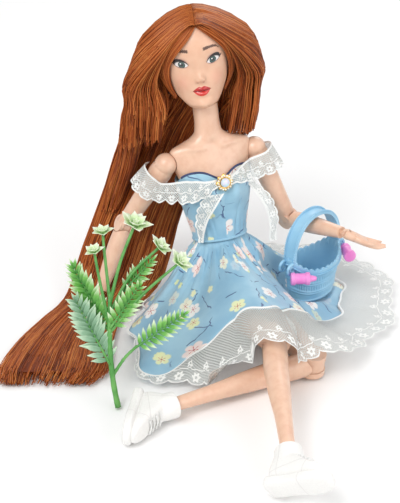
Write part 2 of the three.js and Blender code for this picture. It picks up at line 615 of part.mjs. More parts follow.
// Legs
const footFrames = {};
for (const { key, sign } of SIDES) {
  const bone = bones[key];
  const inward = heading(TORSO_HEADING + 90, 0).multiplyScalar(-sign);
  const hub = hubForm(hipJoints[key], inward, HIP_HUB_BALL, HIP_HUB_STEM, HIP_REACH, 0);
  add(`${key}_hip_hub`, 'skin', union(hub.ball, hub.stem, hub.flange));
  const upperFrame = frameAt(hipJoints[key], bone.thigh.clone().negate(), bone.kneeAxis);
  const lowerFrame = frameAt(bone.knee, bone.shin.clone().negate(), bone.kneeAxis);
  const length = THIGH_LENGTH;
  const upper = limb(upperFrame, [
    [-2, 6.6, 6.6, 6.6], [-8, 8, 7.8, 7.8], [-18, 7.9, 7.8, 7.8], [-32, 7.2, 7.3, 7.2], [-46, 6.5, 6.7, 6.5],
    [6 - length, KNEE_RADIUS, KNEE_RADIUS, KNEE_RADIUS],
    [-length, KNEE_RADIUS - 0.3, KNEE_RADIUS - 0.4, KNEE_RADIUS - 0.4],
  ]).add(ball(hipJoints[key], HIP_BALL, 10));
  const reach = SHIN_LENGTH;
  const lower = limb(lowerFrame, [
    [-2, 5.4, 5.4, 5.4], [-8, 5.7, 5.5, 5.6], [-20, 5.5, 5, 6.1], [-34, 4.9, 4.5, 5.4], [-50, 3.8, 3.7, 3.9],
    [10 - reach, 3.1, 3.1, 3.1],
    [-reach, ANKLE_RADIUS - 0.6, ANKLE_RADIUS - 0.6, ANKLE_RADIUS - 0.6],
  ]);
  const pair = hingedPair(upper, lower, bone.knee, bone.kneeAxis, bone.thigh, bone.shin, KNEE_RADIUS, 1);
  const hipAxis = inward.clone().cross(bone.thigh).normalize();
  const slot = raiseSlot(hipJoints[key], inward, hipAxis, HIP_SPREAD_LIMIT, HIP_HUB_STEM + FIT);
  const cavity = ball(hipJoints[key], HIP_HUB_BALL + SOCKET_FIT, 8);
  add(`${key}_thigh`, 'skin', pair.upper.subtract(cavity).subtract(slot));
  add(`${key}_knee_pin`, 'skin', pair.pin);

  // Foot and sneaker: the foot points along -Y of its frame and the sole is below
  const shinFront = axisOf(lowerFrame, 1).negate();
  const drop = rad(POSE[key].footDrop);
  const toward = shinFront.clone().multiplyScalar(Math.cos(drop)).addScaledVector(bone.shin, Math.sin(drop));
  const footUp = bone.shin.clone().multiplyScalar(-Math.cos(drop)).addScaledVector(shinFront, Math.sin(drop));
  const footFrame = frameAt(bone.ankle, footUp, bone.kneeAxis);
  footFrames[key] = { footFrame, toward };
  add(`${key}_shin`, 'skin', pair.lower.add(ball(bone.ankle, ANKLE_BALL)));

  const footStations = (off) => [
    [5.4, 2.4 + off, -7 - off, 0], [2, 3.3 + off, -8 - off, 1.6 + off], [-4, 3.5 + off, -8.2 - off, 0.8 + off],
    [-10, 3.9 + off, -8.4 - off, -2.4 + off], [-15, 3.6 + off, -8.4 - off, -4.4 + off],
    [-18.6 - off, 2.2 + off, -8.2 - off, -6 + off],
  ];
  const across = (stations, sides) => skin(stations.map(([y, half, low, high]) => {
    const ring = [];
    for (let side = 0; side < sides; side += 1) {
      const turn = (side / sides) * 2 * Math.PI;
      const square = (value) => Math.sign(value) * Math.abs(value) ** 0.6;
      const middle = (low + high) / 2;
      const rise = middle + (high - low) / 2 * square(Math.sin(turn));
      ring.push(inFrame(footFrame, half * square(Math.cos(turn)), y, rise));
    }
    return ring;
  }));
  const shinRoom = rod(bone.ankle, along(bone.ankle, bone.shin, -9), ANKLE_RADIUS + 0.9, 10, ANKLE_RADIUS + 2);
  const foot = across(footStations(0), 8);
  add(`${key}_foot`, 'skin', foot.subtract(ball(bone.ankle, ANKLE_BALL + FIT)).subtract(shinRoom));

  const sole = across([
    [8.4, 3.6, -12.6, -8.2], [6, 5.4, -12.8, -7.8], [-3, 5.3, -12.8, -7.8], [-13, 6.2, -12.8, -8],
    [-19, 5.4, -12.6, -8], [-23, 3, -12, -8.6],
  ], 8);
  const upperShoe = across([
    [7.6, 3.6, -9, 3], [4, 5.2, -9, 4], [-4, 5.6, -9, 2.6], [-10, 5.8, -9, -0.8], [-16, 5.4, -9, -3.6],
    [-22, 2.8, -9, -6.6],
  ], 8);
  const collarFrame = frameAt(bone.ankle, bone.shin.clone().negate(), bone.kneeAxis);
  const collar = limb(collarFrame, [[7.6, 5.8, 6, 6], [3, 5.8, 6.2, 6.2], [-5, 5, 5.4, 5.4]], 10);
  let shoe = union(sole, upperShoe, collar);
  for (const y of [-7.4, -9.8, -12.2]) {
    const z = profile(SHOE_TOP, -y);
    shoe = shoe.add(rod(inFrame(footFrame, -3.4, y, z), inFrame(footFrame, 3.4, y, z), LACE_BAR, 5));
  }
  const mouth = rod(bone.ankle, inFrame(collarFrame, 0, 0, 9), ANKLE_RADIUS + 1.2, 10, ANKLE_RADIUS + 2);
  shoe = shoe.subtract(across(footStations(FIT), 8)).subtract(shinRoom).subtract(mouth);
  shoe = shoe.subtract(ball(bone.ankle, ANKLE_BALL + SOCKET_FIT));
  add(`${key}_sneaker`, 'shoe', shoe);
}

// Dress: every cloth is a shell between an outer and an inner run of rings
function shell(outer, inner) {
  return skin([...outer, ...inner.slice().reverse()], true);
}

const BODICE_EASE = 1.2;
const bodiceTop = (turn) => {
  const away = Math.min(Math.abs(turn), 2 * Math.PI - Math.abs(turn));
  const dip = NECKLINE_DIP * hump(away, 0.3);
  const side = 5 * hump(away - Math.PI / 2, 0.55);
  const back = away > Math.PI / 2 ? 4 * Math.sin(away - Math.PI / 2) : 0;
  return NECKLINE_RISE - dip - side - back;
};
const BODICE_ROWS = [0, 0.2, 0.4, 0.58, 0.74, 0.88, 1];
const bodiceRings = (off) => BODICE_ROWS.map((share) => (
  torsoRing((turn) => lerp(WAIST_RISE, bodiceTop(turn), share), off)));
let bodice = shell(bodiceRings(BODICE_EASE + CLOTH), bodiceRings(BODICE_EASE));
for (const { key } of SIDES) {
  const reach = along(shoulders[key], bones[key].upperArm, SHOULDER_BALL * 3);
  bodice = bodice.subtract(ball(shoulders[key], SHOULDER_BALL + CLOTH_GAP, 12));
  bodice = bodice.subtract(rod(shoulders[key], reach, SHOULDER_BALL + CLOTH_GAP, 12));
}
add('bodice', 'dress', bodice);

// Carrier: a moulded tub with a beaded rim and an arched handle, hung on the left forearm
const carrierBone = bones.left;
const carrierAt = along(carrierBone.elbow, carrierBone.forearm, FOREARM_LENGTH * 0.44);
const CARRIER_DROP = carrierAt.z - CARRIER_BASE;
const carrierLong = point(0, 0, 1).cross(carrierBone.forearm).normalize();
const carrierFrame = frameAt(carrierAt, point(0, 0, 1), carrierLong);
const RIM_RISE = 6;
const TUB_SIDES = 22;
const BEAD = 0.8;
function tubRing(share, grow, rise) {
  const ring = [];
  for (let side = 0; side < TUB_SIDES; side += 1) {
    const turn = (side / TUB_SIDES) * 2 * Math.PI;
    const swell = 0.74 + 0.26 * share ** 0.6;
    const height = rise + share * (CARRIER_DEPTH - rise + RIM_RISE * Math.cos(turn) ** 4);
    const x = (CARRIER_LENGTH / 2 * swell + grow) * Math.cos(turn);
    const y = (CARRIER_WIDTH / 2 * swell + grow) * Math.sin(turn);
    ring.push(inFrame(carrierFrame, x, y, height - CARRIER_DROP));
  }
  return ring;
}
const tubOuter = [
  tubRing(0, -1.4, 0), tubRing(0.06, 0, 0), tubRing(0.45, 0, 0), tubRing(0.86, 0, 0), tubRing(0.9, BEAD, 0),
  tubRing(1, BEAD, 0),
];
const tubInner = [
  tubRing(1, -CARRIER_WALL, 0), tubRing(0.5, -CARRIER_WALL, 0), tubRing(0.04, -CARRIER_WALL, CARRIER_WALL),
];
let carrier = skin([...tubOuter, ...tubInner]);
const HANDLE_HALF = CARRIER_LENGTH / 2 - CARRIER_WALL / 2;
const HANDLE_FOOT = CARRIER_DEPTH + RIM_RISE - CARRIER_DROP - 2.4;
const HANDLE_TOP = 6.6;
const HANDLE_THICK = 0.95;
const handleSpots = [];
for (let step = 0; step <= 10; step += 1) {
  const turn = Math.PI * (1 - step / 10);
  const rise = HANDLE_FOOT + (HANDLE_TOP - HANDLE_FOOT) * Math.sin(turn) ** 0.75;
  const at = inFrame(carrierFrame, HANDLE_HALF * Math.cos(turn), 0, rise);
  const across = axisOf(carrierFrame, 1).multiplyScalar(HANDLE_WIDTH / 2);
  const through = axisOf(carrierFrame, 0).multiplyScalar(HANDLE_THICK * Math.cos(turn));
  through.addScaledVector(axisOf(carrierFrame, 2), HANDLE_THICK * Math.sin(turn));
  handleSpots.push({ at, across, through });
}
carrier = carrier.add(ovalTube(handleSpots, 8));

// Bottles lie along the rim near both ends of the carrier, each on a small cradle
const BOTTLE_RISE = CARRIER_DEPTH - CARRIER_DROP - 0.6;
const BOTTLE_OUTLINE = [[-1, 0.8], [-0.96, 0.98], [-0.7, 1], [-0.62, 0.86], [0.1, 0.86], [0.2, 1], [0.42, 1],
  [0.5, 0.62], [0.8, 0.42], [1, 0.22]];
const CRADLE_THICK = 1.2;
const BOTTLE_PLACES = { near: 215, far: -20 };
for (const [at, place] of Object.entries(BOTTLE_PLACES)) {
  const long = CARRIER_LENGTH / 2;
  const wide = CARRIER_WIDTH / 2;
  const [x, y] = [long * Math.cos(rad(place)), wide * Math.sin(rad(place))];
  const out = axisOf(carrierFrame, 0).multiplyScalar(x / long ** 2);
  out.addScaledVector(axisOf(carrierFrame, 1), y / wide ** 2).normalize();
  const centre = along(inFrame(carrierFrame, x, y, BOTTLE_RISE), out, BOTTLE_RADIUS + FIT + BEAD);
  const bottleFrame = frameAt(centre, point(0, 0, 1), out);
  const cradleSize = [BOTTLE_RADIUS * 2.6, BOTTLE_LENGTH * 0.4, CRADLE_THICK];
  const cradleAt = [-BOTTLE_RADIUS * 0.7, 0, -BOTTLE_RADIUS - FIT - CRADLE_THICK / 2];
  carrier = carrier.add(block(bottleFrame, cradleSize, cradleAt));
  add(`${at}_bottle`, 'bottle', skin(BOTTLE_OUTLINE.map(([reach, share]) => {
    const ring = [];
    const sides = 10;
    for (let step = 0; step < sides; step += 1) {
      const turn = (step / sides) * 2 * Math.PI;
      const radius = BOTTLE_RADIUS * share;
      const run = reach * BOTTLE_LENGTH / 2;
      ring.push(inFrame(bottleFrame, radius * Math.cos(turn), run, radius * Math.sin(turn)));
    }
    return ring;
  })));
}
add('carrier', 'carrier', carrier);

// The greatest height of cloth over a spot on the floor, so that it stays below the carrier
function carrierPress(x, y) {
  const spot = point(x - carrierAt.x, y - carrierAt.y, 0);
  const long = spot.dot(axisOf(carrierFrame, 0)) / (CARRIER_LENGTH * 0.37);
  const wide = spot.dot(axisOf(carrierFrame, 1)) / (CARRIER_WIDTH * 0.37);
  const away = Math.max(Math.hypot(long, wide) - 1, 0) * CARRIER_WIDTH * 0.45;
  return CARRIER_BASE - 2 * CLOTH_GAP + 0.36 * away + 0.03 * away ** 2 + 0.004 * away ** 3;
}

// The height of the legs over a spot on the floor
const LEG_RUNS = [];
for (const { key } of SIDES) {
  const { thigh, shin, knee } = bones[key];
  LEG_RUNS.push([hipJoints[key], thigh, THIGH_LENGTH, HIP_BALL, KNEE_RADIUS * 1.3]);
  LEG_RUNS.push([knee, shin, SHIN_LENGTH, KNEE_RADIUS * 1.3, ANKLE_RADIUS + 1]);
}
function legHeight(x, y, ease) {
  let top = 0;
  const steps = 24;
  for (const [start, direction, length, from, to] of LEG_RUNS) {
    for (let step = 0; step <= steps; step += 1) {
      const share = step / steps;
      const spot = along(start, direction, length * share);
      const radius = lerp(from, to, share) + ease;
      const away = Math.hypot(x - spot.x, y - spot.y);
      if (away < radius) top = Math.max(top, spot.z + Math.sqrt(radius * radius - away * away));
    }
  }
  return top;
}

// Hem of the skirt: heading from the front toward +X, distance from the waist and height
const HEM = [[-60, 50, 0.7], [-40, 62, 0.7], [-26, 74, 1], [-14, 62, 12], [2, 56, 26], [16, 58, 31], [38, 52, 22],
  [56, 50, 9], [75, 54, 1], [100, 58, 0.7], [130, 56, 0.7], [160, 44, 0.7], [195, 33, 0.7], [235, 29, 0.7],
  [270, 36, 0.7], [300, 50, 0.7]];
const roundFrom = (angle, start) => start + (((angle - start) % 360) + 360) % 360;
const hemAt = (angle, column) => profile(HEM.map((row) => [row[0], row[column]]), roundFrom(angle, HEM[0][0]));
const SKIRT_SIDES = 44;
const SKIRT_ROWS = [0, 0.16, 0.34, 0.52, 0.7, 0.86, 1];
const waistRise = WAIST_RISE - CLOTH_GAP;

function skirtSpot(turn, share, drop) {
  const waist = torsoPoint(turn, waistRise - drop * 0.6, CLOTH_GAP + CLOTH - drop);
  const angle = THREE.MathUtils.radToDeg(turn) + TORSO_HEADING;
  const reach = hemAt(angle, 1);
  const fold = Math.cos(turn * SKIRT_FOLDS) * SKIRT_FOLD_DEPTH * share * (1.2 - 0.2 * share);
  const hem = heading(angle, 0).multiplyScalar(reach + fold * 1.4);
  const x = lerp(waist.x, hem.x, share);
  const y = lerp(waist.y, hem.y, share);
  const ease = CLOTH_GAP + CLOTH - drop;
  const fall = lerp(waist.z, hemAt(angle, 2) + CLOTH, share ** 0.8) + fold * 0.5 * (1 - share);
  const over = legHeight(x, y, ease + 1.2) + ease;
  const low = FLOOR_GAP + CLOTH - drop;
  const tent = Math.max(Math.min(smoothMax(fall - drop, over, 5), carrierPress(x, y) - drop), over);
  return point(x, y, Math.max(share > 0 ? tent : waist.z, low));
}

function skirtRings(drop) {
  return SKIRT_ROWS.map((share) => {
    const ring = [];
    for (let side = 0; side < SKIRT_SIDES; side += 1) {
      ring.push(skirtSpot((side / SKIRT_SIDES) * 2 * Math.PI, share, drop));
    }
    return ring;
  });
}
add('skirt', 'dress', shell(skirtRings(0), skirtRings(CLOTH)));

// Lace hem: a ruffled band outside the skirt's edge
const LACE_REACH = [[-60, 0.12], [-30, 0.4], [-12, 0.9], [0, 1], [40, 1.3], [70, 1.9], [110, 2], [150, 1.4],
  [200, 0.5], [240, 0.12], [300, 0.12]];
const LACE_SIDES = 60;
const LACE_ROWS = [0, 0.45, 1];
const LACE_EASE = CLOTH + 5 * CLOTH_GAP;
function laceSpot(turn, share, drop) {
  const angle = THREE.MathUtils.radToDeg(turn) + TORSO_HEADING;
  const edge = skirtSpot(turn, 1, 0);
  const width = LACE_WIDTH * profile(LACE_REACH, roundFrom(angle, LACE_REACH[0][0]));
  const outward = heading(angle, 0);
  const spot = along(edge, outward, 3 * CLOTH_GAP + width * share);
  const fold = Math.cos(turn * LACE_FOLDS) * LACE_FOLD_DEPTH * share;
  const over = legHeight(spot.x, spot.y, LACE_EASE) + LACE_EASE;
  const fall = lerp(edge.z, FLOOR_GAP + LACE_FOLD_DEPTH + CLOTH, Math.min(share * 1.1, 1)) + fold;
  const laid = Math.min(smoothMax(fall, over, 3), carrierPress(spot.x, spot.y));
  spot.z = Math.max(laid, FLOOR_GAP + CLOTH) - drop;
  return spot;
}
function laceRings(drop) {
  return LACE_ROWS.map((share) => {
    const ring = [];
    for (let side = 0; side < LACE_SIDES; side += 1) {
      ring.push(laceSpot((side / LACE_SIDES) * 2 * Math.PI, share, drop));
    }
    return ring;
  });
}
add('hem_lace', 'lace', shell(laceRings(0), laceRings(CLOTH)));

// A ribbon: a sheet along a path, with its width and its face given at each spot
function ribbon(path, thickness) {
  return skin(path.map(({ at, wide, face }) => {
    const lift = face.clone().normalize().multiplyScalar(thickness);
    const start = at.clone().sub(wide);
    const middle = along(at, face, 0.01);
    const end = at.clone().add(wide);
    return [start, middle, end, end.clone().add(lift), middle.clone().add(lift), start.clone().add(lift)];
  }));
}

// Lace frills: from the brooch over the bust and round each upper arm
const BROOCH_RISE = 55.5;
const LACE_OFF = BODICE_EASE + CLOTH + 4 * CLOTH_GAP;
const FRILL_FRONT = [[0.16, 0, 1.8], [0.32, 0.5, 3], [0.48, 1, 4.2], [0.64, 1.2, 5], [0.8, 1.4, 5.4],
  [0.94, 1.4, 5.6]];
const FRILL_ROUND_ARM = [[-78, 1.6, 6], [-50, 1.8, 6.4], [-20, 1.8, 6.4], [10, 1.8, 6.4], [40, 1.8, 6],
  [70, 1.6, 5.4]];
const TAIL_OFF = BODICE_EASE + CLOTH + 2 * CLOTH_GAP;
for (const { key, sign } of SIDES) {
  const bone = bones[key];
  const armAt = along(shoulders[key], bone.upperArm, 9);
  const armRound = (turn, off) => {
    const outward = lateral.clone().multiplyScalar(sign).applyAxisAngle(bone.upperArm, -sign * turn);
    const flat = outward.addScaledVector(bone.upperArm, -outward.dot(bone.upperArm)).normalize();
    return { at: along(armAt, flat, SHOULDER_BALL + off), flat };
  };
  const path = [];
  for (const [turn, rise, half] of FRILL_FRONT) {
    const at = torsoPoint(sign * turn, BROOCH_RISE + rise, LACE_OFF);
    const face = at.clone().sub(inTorso(0, 0, BROOCH_RISE)).normalize();
    path.push({ at, wide: upward.clone().multiplyScalar(half), face });
  }
  for (const [turn, off, half] of FRILL_ROUND_ARM) {
    const { at, flat } = armRound(rad(turn), off);
    path.push({ at, wide: bone.upperArm.clone().multiplyScalar(-half), face: flat });
  }
  add(`${key}_frill`, 'lace', ribbon(path, CLOTH * 0.8));
  const tailSpots = key === 'right'
    ? [[-0.18, 50, 2], [-0.36, 43, 3.4], [-0.5, 36, 4], [-0.6, 30, 2]]
    : [[1.02, 44, 1.6], [0.98, 38, 2.8], [0.94, 33, 3.2], [0.9, 29, 2]];
  const tail = tailSpots.map(([turn, rise, half]) => {
    const at = torsoPoint(turn, rise, key === 'right' ? LACE_OFF : TAIL_OFF);
    const face = at.clone().sub(inTorso(0, 0, rise)).normalize();
    const wide = face.clone().cross(upward).normalize().multiplyScalar(half);
    return { at, wide, face };
  });
  add(`${key}_lace_tail`, 'lace', ribbon(tail, CLOTH * 0.8));
}

// Brooch: a ring of petals with a domed stone
const broochAt = torsoPoint(0, BROOCH_RISE, LACE_OFF + CLOTH + CLOTH_GAP);
const broochFrame = frameAt(broochAt, forward, lateral);
const PETALS = 8;
const petalRing = (z, scale) => {
  const ring = [];
  const steps = PETALS * 3;
  for (let step = 0; step < steps; step += 1) {
    const turn = (step / steps) * 2 * Math.PI;
    const radius = BROOCH_RADIUS * scale * (0.9 + 0.1 * Math.cos(turn * PETALS));
    ring.push(inFrame(broochFrame, radius * Math.cos(turn), radius * Math.sin(turn), z));
  }
  return ring;
};
const gemRadius = BROOCH_RADIUS * 0.5;
const seat = rod(inFrame(broochFrame, 0, 0, 0.6), inFrame(broochFrame, 0, 0, 4), gemRadius + FIT * 0.5, 12);
const setting = skin([petalRing(0, 0.9), petalRing(0.7, 1), petalRing(1.5, 0.78)]);
add('brooch_setting', 'gold', setting.subtract(seat));
add('brooch_stone', 'gem', skin([[0.75, 1], [1.8, 1], [2.6, 0.72], [2.9, 0.25]].map(([z, scale]) => {
  const ring = [];
  for (let step = 0; step < 12; step += 1) {
    const turn = (step / 12) * 2 * Math.PI;
    ring.push(inFrame(broochFrame, gemRadius * scale * Math.cos(turn), gemRadius * scale * Math.sin(turn), z));
  }
  return ring;
})));

// Hair: a crown over the skull, two side locks and one long fall that turns forward on the floor. The crown's
// rows give the rise, the distance from the head and the swell of the swept-back sides, right and left.
const HAIR_FORM = [[-10, 9.6, 17.6, 9.4], [-4, 7.2, 16.6, 11], [3, 6.4, 14.6, 11.4], [10, 6.2, 10.4, 9.2],
  [18, 6.4, 6, 6.6], [26, 5.6, 4.2, 5.4], [31, 5, 5, 5.6], [34.2, 4.6, 5, 5.6], [36.6, 2.4, 4, 4]];
const HAIR_TOP = 34.8;
const hairRing = ([rise, off, rightSwell, leftSwell]) => {
  const ring = [];
  const sides = 18;
  for (let side = 0; side < sides; side += 1) {
    const turn = (side / sides) * 2 * Math.PI;
    const out = Math.sin(turn) ** 3;
    const spot = headPoint(turn, Math.min(rise, HAIR_TOP), off);
    ring.push(along(along(spot, axisOf(headFrame, 0), out * (out < 0 ? rightSwell : leftSwell)),
      axisOf(headFrame, 2), Math.max(rise - HAIR_TOP, 0)));
  }
  return ring;
};
const hairOuter = skin(HAIR_FORM.map(hairRing));
const hairInner = skin(headRings([-12, -6, 1, 8, 15, 22, 29, 33, 35], 3 * CLOTH_GAP, 16));
const faceWindow = skin([[-14, 11.6], [4, 12.6], [14, 12.6], [22, 9], [28, 2.5]].map(([rise, half]) => {
  const flat = [[-half, -30], [half, -30], [half * 1.08, -3.5], [-half * 1.08, -3.5]];
  return flat.map(([x, y]) => inFrame(headFrame, x + HEAD_SET, y, rise));
}));
add('hair_crown', 'hair', hairOuter.subtract(hairInner).subtract(faceWindow));

const lock = (stations, sides) => ovalTube(stations.map(([x, y, z, wide, turn, deep]) => {
  const across = point(Math.cos(rad(turn)), Math.sin(rad(turn)), 0);
  const through = point(-Math.sin(rad(turn)), Math.cos(rad(turn)), 0);
  return { at: point(x, y, z), across: across.multiplyScalar(wide), through: through.multiplyScalar(deep) };
}), sides);
add('hair_left_lock', 'hair', lock([
  [9.4, 27, 100.8, 8, 60, 3.6], [9.8, 30, 91, 8.4, 45, 4], [8.8, 33, 83, 7.4, 30, 3.2], [8, 34.4, 78, 4, 25, 2],
], 10));
add('hair_right_lock', 'hair', lock([
  [-41.8, 20.6, 98.2, 7.4, 112, 5], [-44.4, 21, 89, 7, 118, 5.4], [-45, 22, 80, 5, 125, 4.4], [-47, 22, 70, 3, 125, 2.6],
], 10));
const FALL = [
  [-17, 33, 98.2, 20, 0, 6], [-24, 32.6, 86, 22, 0, 5.4], [-31, 32.6, 70, 22, 0, 5.4], [-38.5, 30, 50, 21, 10, 5.4],
  [-45, 25, 33, 21, 24, 5.4], [-50, 19, 18, 22, 48, 5], [-54, 10.5, 8, 21.5, 66, 3.8], [-60, 0, 3.1, 19.5, 82, 2],
  [-69, -13, 2.1, 18.5, 88, 1.3], [-76, -36, 2.1, 22, 90, 1.3], [-80, -62, 2, 25, 90, 1.2],
  [-82, -71, 1.5, 21, 90, 0.6],
];
add('hair_fall', 'hair', ovalTube(FALL.map(([x, y, z, wide, tip, deep]) => ({
  at: point(x, y, z),
  across: point(wide, 0, 0),
  through: point(0, Math.cos(rad(tip)), -Math.sin(rad(tip))).multiplyScalar(deep),
})), 12));

// Sprig: a branching stem with fern leaves and open flowers, standing beside the left sneaker
const sprigBase = point(...SPRIG_BASE);
const sprigFace = point(0, -Math.cos(rad(SPRIG_LEAN)), Math.sin(rad(SPRIG_LEAN)));
const sprigFrame = frameAt(sprigBase, sprigFace, point(1, 0, 0));
const sprigSpot = (x, y, off = 0) => inFrame(sprigFrame, x, y, off);
const STEM_TOP = [-3.5, 51];
const BRANCHES = [
  { spots: [[0, 0, 0], [-2.2, 12, 0.4], [-3.6, 28, 0.6], [...STEM_TOP, 0]] },
  { spots: [[-3.5, 46, 0], [-6, 68, -1], [-6.8, 76.4, -1.6]], flower: 0.82 },
  { spots: [[-3.5, 46, 0], [1, 64, 1], [7, 79.6, 1.4]], flower: 1.2 },
  { spots: [[-3.6, 36, 0], [-8, 56, 1.4], [-10.2, 68, 2]], flower: 0.74 },
  { spots: [[-3.5, 42, 0], [6, 59, -1], [17.6, 70.2, -1.6]], flower: 0.9 },
  { spots: [[-3.8, 33, 0], [11, 50, 1.4], [26.4, 63.4, 2.4]], flower: 1 },
  { spots: [[-2.4, 14, 0], [3, 22, 1.2], [8.4, 27.4, 2]] },
];
const stemTube = (spots, radius) => ovalTube(spots.map((spot, at) => {
  const share = 1 - 0.3 * at / (spots.length - 1);
  return {
    at: sprigSpot(...spot),
    across: axisOf(sprigFrame, 0).multiplyScalar(radius * share),
    through: axisOf(sprigFrame, 2).multiplyScalar(radius * share),
  };
}), 5);
add('sprig_stem', 'stem', union(...BRANCHES.map(({ spots }, at) => (
  stemTube(spots, at === 0 ? SPRIG_STEM : SPRIG_STEM * 0.72)))));

const LEAF_PAIRS = 5;
function fern(root, tip, off, tilt, width) {
  const start = sprigSpot(...root, off);
  const flat = sprigSpot(...tip, off).sub(start);
  const length = flat.length();
  const normal = axisOf(sprigFrame, 2);
  const run = flat.normalize().applyAxisAngle(normal.clone().cross(flat).normalize(), -rad(tilt));
  const leafFrame = frameAt(start, normal.clone().addScaledVector(run, -normal.dot(run)), run);
  const outline = new THREE.Shape();
  outline.moveTo(0, -0.5);
  const edge = (sign) => {
    const spots = [];
    for (let pair = 0; pair < LEAF_PAIRS; pair += 1) {
      const share = (pair + 0.3) / LEAF_PAIRS;
      const reach = width * Math.sin(Math.PI * (0.2 + 0.72 * share)) ** 0.8;
      const pitch = length / LEAF_PAIRS;
      const foot = share * length;
      spots.push([foot, 0.8 * sign], [foot + pitch * 0.5, reach * 0.86 * sign]);
      spots.push([foot + pitch * 1.1, reach * sign]);
      spots.push([foot + pitch * 0.82, 0.8 * sign]);
    }
    return spots;
  };
  for (const [x, y] of edge(-1)) outline.lineTo(x, y);
  outline.lineTo(length, 0);
  for (const [x, y] of edge(1).reverse()) outline.lineTo(x, y);
  outline.lineTo(0, 0.5);
  const shape = new THREE.ExtrudeGeometry(outline, { depth: LEAF_THICKNESS, bevelEnabled: false });
  return solid(shape.applyMatrix4(leafFrame));
}
const leafOff = SPRIG_STEM + CLOTH_GAP;
const leafUnder = 1 - leafOff - LEAF_THICKNESS;
const FERNS = [
  [[-4, 20], [-18.5, 47], leafOff, 14, 8.6],
  [[-4.6, 34], [-19.6, 62], leafUnder, -12, 8],
  [[-2.8, 36], [9, 53], leafOff, 16, 7],
  [[2.6, 51.6], [14.6, 64.6], leafUnder - 0.9, -16, 5.6],
  [[8.6, 27.2], [28.8, 41], leafOff + 1.2, 8, 6.4],
];
FERNS.forEach((row, at) => add(`fern_${at + 1}`, 'leaf', fern(...row)));

const LOBES = 5;
BRANCHES.filter((branch) => branch.flower).forEach(({ spots, flower: size }, at) => {
  const tip = sprigSpot(...spots[spots.length - 1]);
  const run = tip.clone().sub(sprigSpot(...spots[spots.length - 2])).normalize();
  const face = run.clone().addScaledVector(axisOf(sprigFrame, 2), 0.55).normalize();
  const flowerFrame = frameAt(along(tip, run, FIT + 0.3), face, point(1, 0, 0));
  const radius = FLOWER_RADIUS * size;
  const ring = (z, share, depth) => {
    const spotsAround = [];
    for (let step = 0; step < LOBES * 3; step += 1) {
      const turn = (step / (LOBES * 3)) * 2 * Math.PI;
      const reach = radius * share * (1 - depth + depth * Math.cos(turn * LOBES));
      spotsAround.push(inFrame(flowerFrame, reach * Math.cos(turn), reach * Math.sin(turn), z * size));
    }
    return spotsAround;
  };
  add(`flower_${at + 1}`, 'flower', skin([
    ring(0, 0.16, 0), ring(1.4, 0.4, 0.1), ring(3.2, 0.8, 0.24), ring(4, 0.78, 0.24), ring(2.2, 0.3, 0.1),
  ]));
});

export default doll;
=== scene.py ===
# %% [markdown]
# # A seated fashion doll
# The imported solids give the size, the joints and the place of every piece. This lesson dresses them: smooth
# moulded skin, a painted face, hair in thousands of strands, a printed dress with lace, a carrier and a
# sprig.

# %% Load the frame
import math
import bmesh
import bpy
import numpy as np
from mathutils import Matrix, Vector


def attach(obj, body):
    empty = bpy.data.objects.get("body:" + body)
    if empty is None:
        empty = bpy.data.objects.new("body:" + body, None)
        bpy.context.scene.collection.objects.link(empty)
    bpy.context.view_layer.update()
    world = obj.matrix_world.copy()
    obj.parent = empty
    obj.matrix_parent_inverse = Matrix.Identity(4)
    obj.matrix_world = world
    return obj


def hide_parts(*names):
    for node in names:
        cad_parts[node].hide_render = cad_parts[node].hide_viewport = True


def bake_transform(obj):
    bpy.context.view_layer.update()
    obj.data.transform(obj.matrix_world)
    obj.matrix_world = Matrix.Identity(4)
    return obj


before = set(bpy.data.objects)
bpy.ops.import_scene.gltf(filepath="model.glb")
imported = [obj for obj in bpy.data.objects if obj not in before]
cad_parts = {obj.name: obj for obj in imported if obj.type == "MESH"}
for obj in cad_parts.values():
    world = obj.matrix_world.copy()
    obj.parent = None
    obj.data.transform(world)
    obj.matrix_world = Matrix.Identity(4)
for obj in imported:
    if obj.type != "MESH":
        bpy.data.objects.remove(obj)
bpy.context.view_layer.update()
MM = 0.001
rng = np.random.default_rng(7)

# %% [markdown]
# ## Small tools for shapes
# Most pieces are rings of points joined to a skin. A profile gives a smooth value along a list of measured
# places, and a frame turns local millimetres into places on the seated doll.

# %% Profiles and frames
rad = math.radians


def profile(pairs, place):
    spots, values = np.array(pairs, float).T
    last = len(spots) - 1
    at = np.arange(last + 1)
    after, before = np.minimum(at + 1, last), np.maximum(at - 1, 0)
    slopes = (values[after] - values[before]) / (spots[after] - spots[before])
    place = np.clip(np.asarray(place, float), spots[0], spots[-1])
    step = np.clip(np.searchsorted(spots, place, side="left") - 1, 0, last - 1)
    span = spots[step + 1] - spots[step]
    s = (place - spots[step]) / span
    rise = (2 * s**3 - 3 * s**2 + 1) * values[step] + (s**3 - 2 * s**2 + s) * span * slopes[step]
    return rise + (3 * s**2 - 2 * s**3) * values[step + 1] + (s**3 - s**2) * span * slopes[step + 1]


def full_turn(count):
    """Angles once round, without the last one that meets the first."""
    return np.linspace(0, 2 * math.pi, count, endpoint=False)


def columns_at(places, rows, wanted):
    """A profile through every column of a table, at the wanted places."""
    return np.stack([profile(np.stack([places, column], 1), wanted)
                     for column in np.array(rows, float).T], -1)


def path_steps(points):
    return np.concatenate([[0], np.cumsum(np.linalg.norm(np.diff(points, axis=0), axis=1))])


def hump(distance, width):
    return np.exp(-((distance / width) ** 2))


def smooth(low, high, value):
    share = np.clip((value - low) / (high - low), 0, 1)
    return share * share * (3 - 2 * share)


def lerp(a, b, share):
    return a + (b - a) * share


def unit(vector):
    vector = np.asarray(vector, float)
    return vector / np.linalg.norm(vector, axis=-1, keepdims=True)


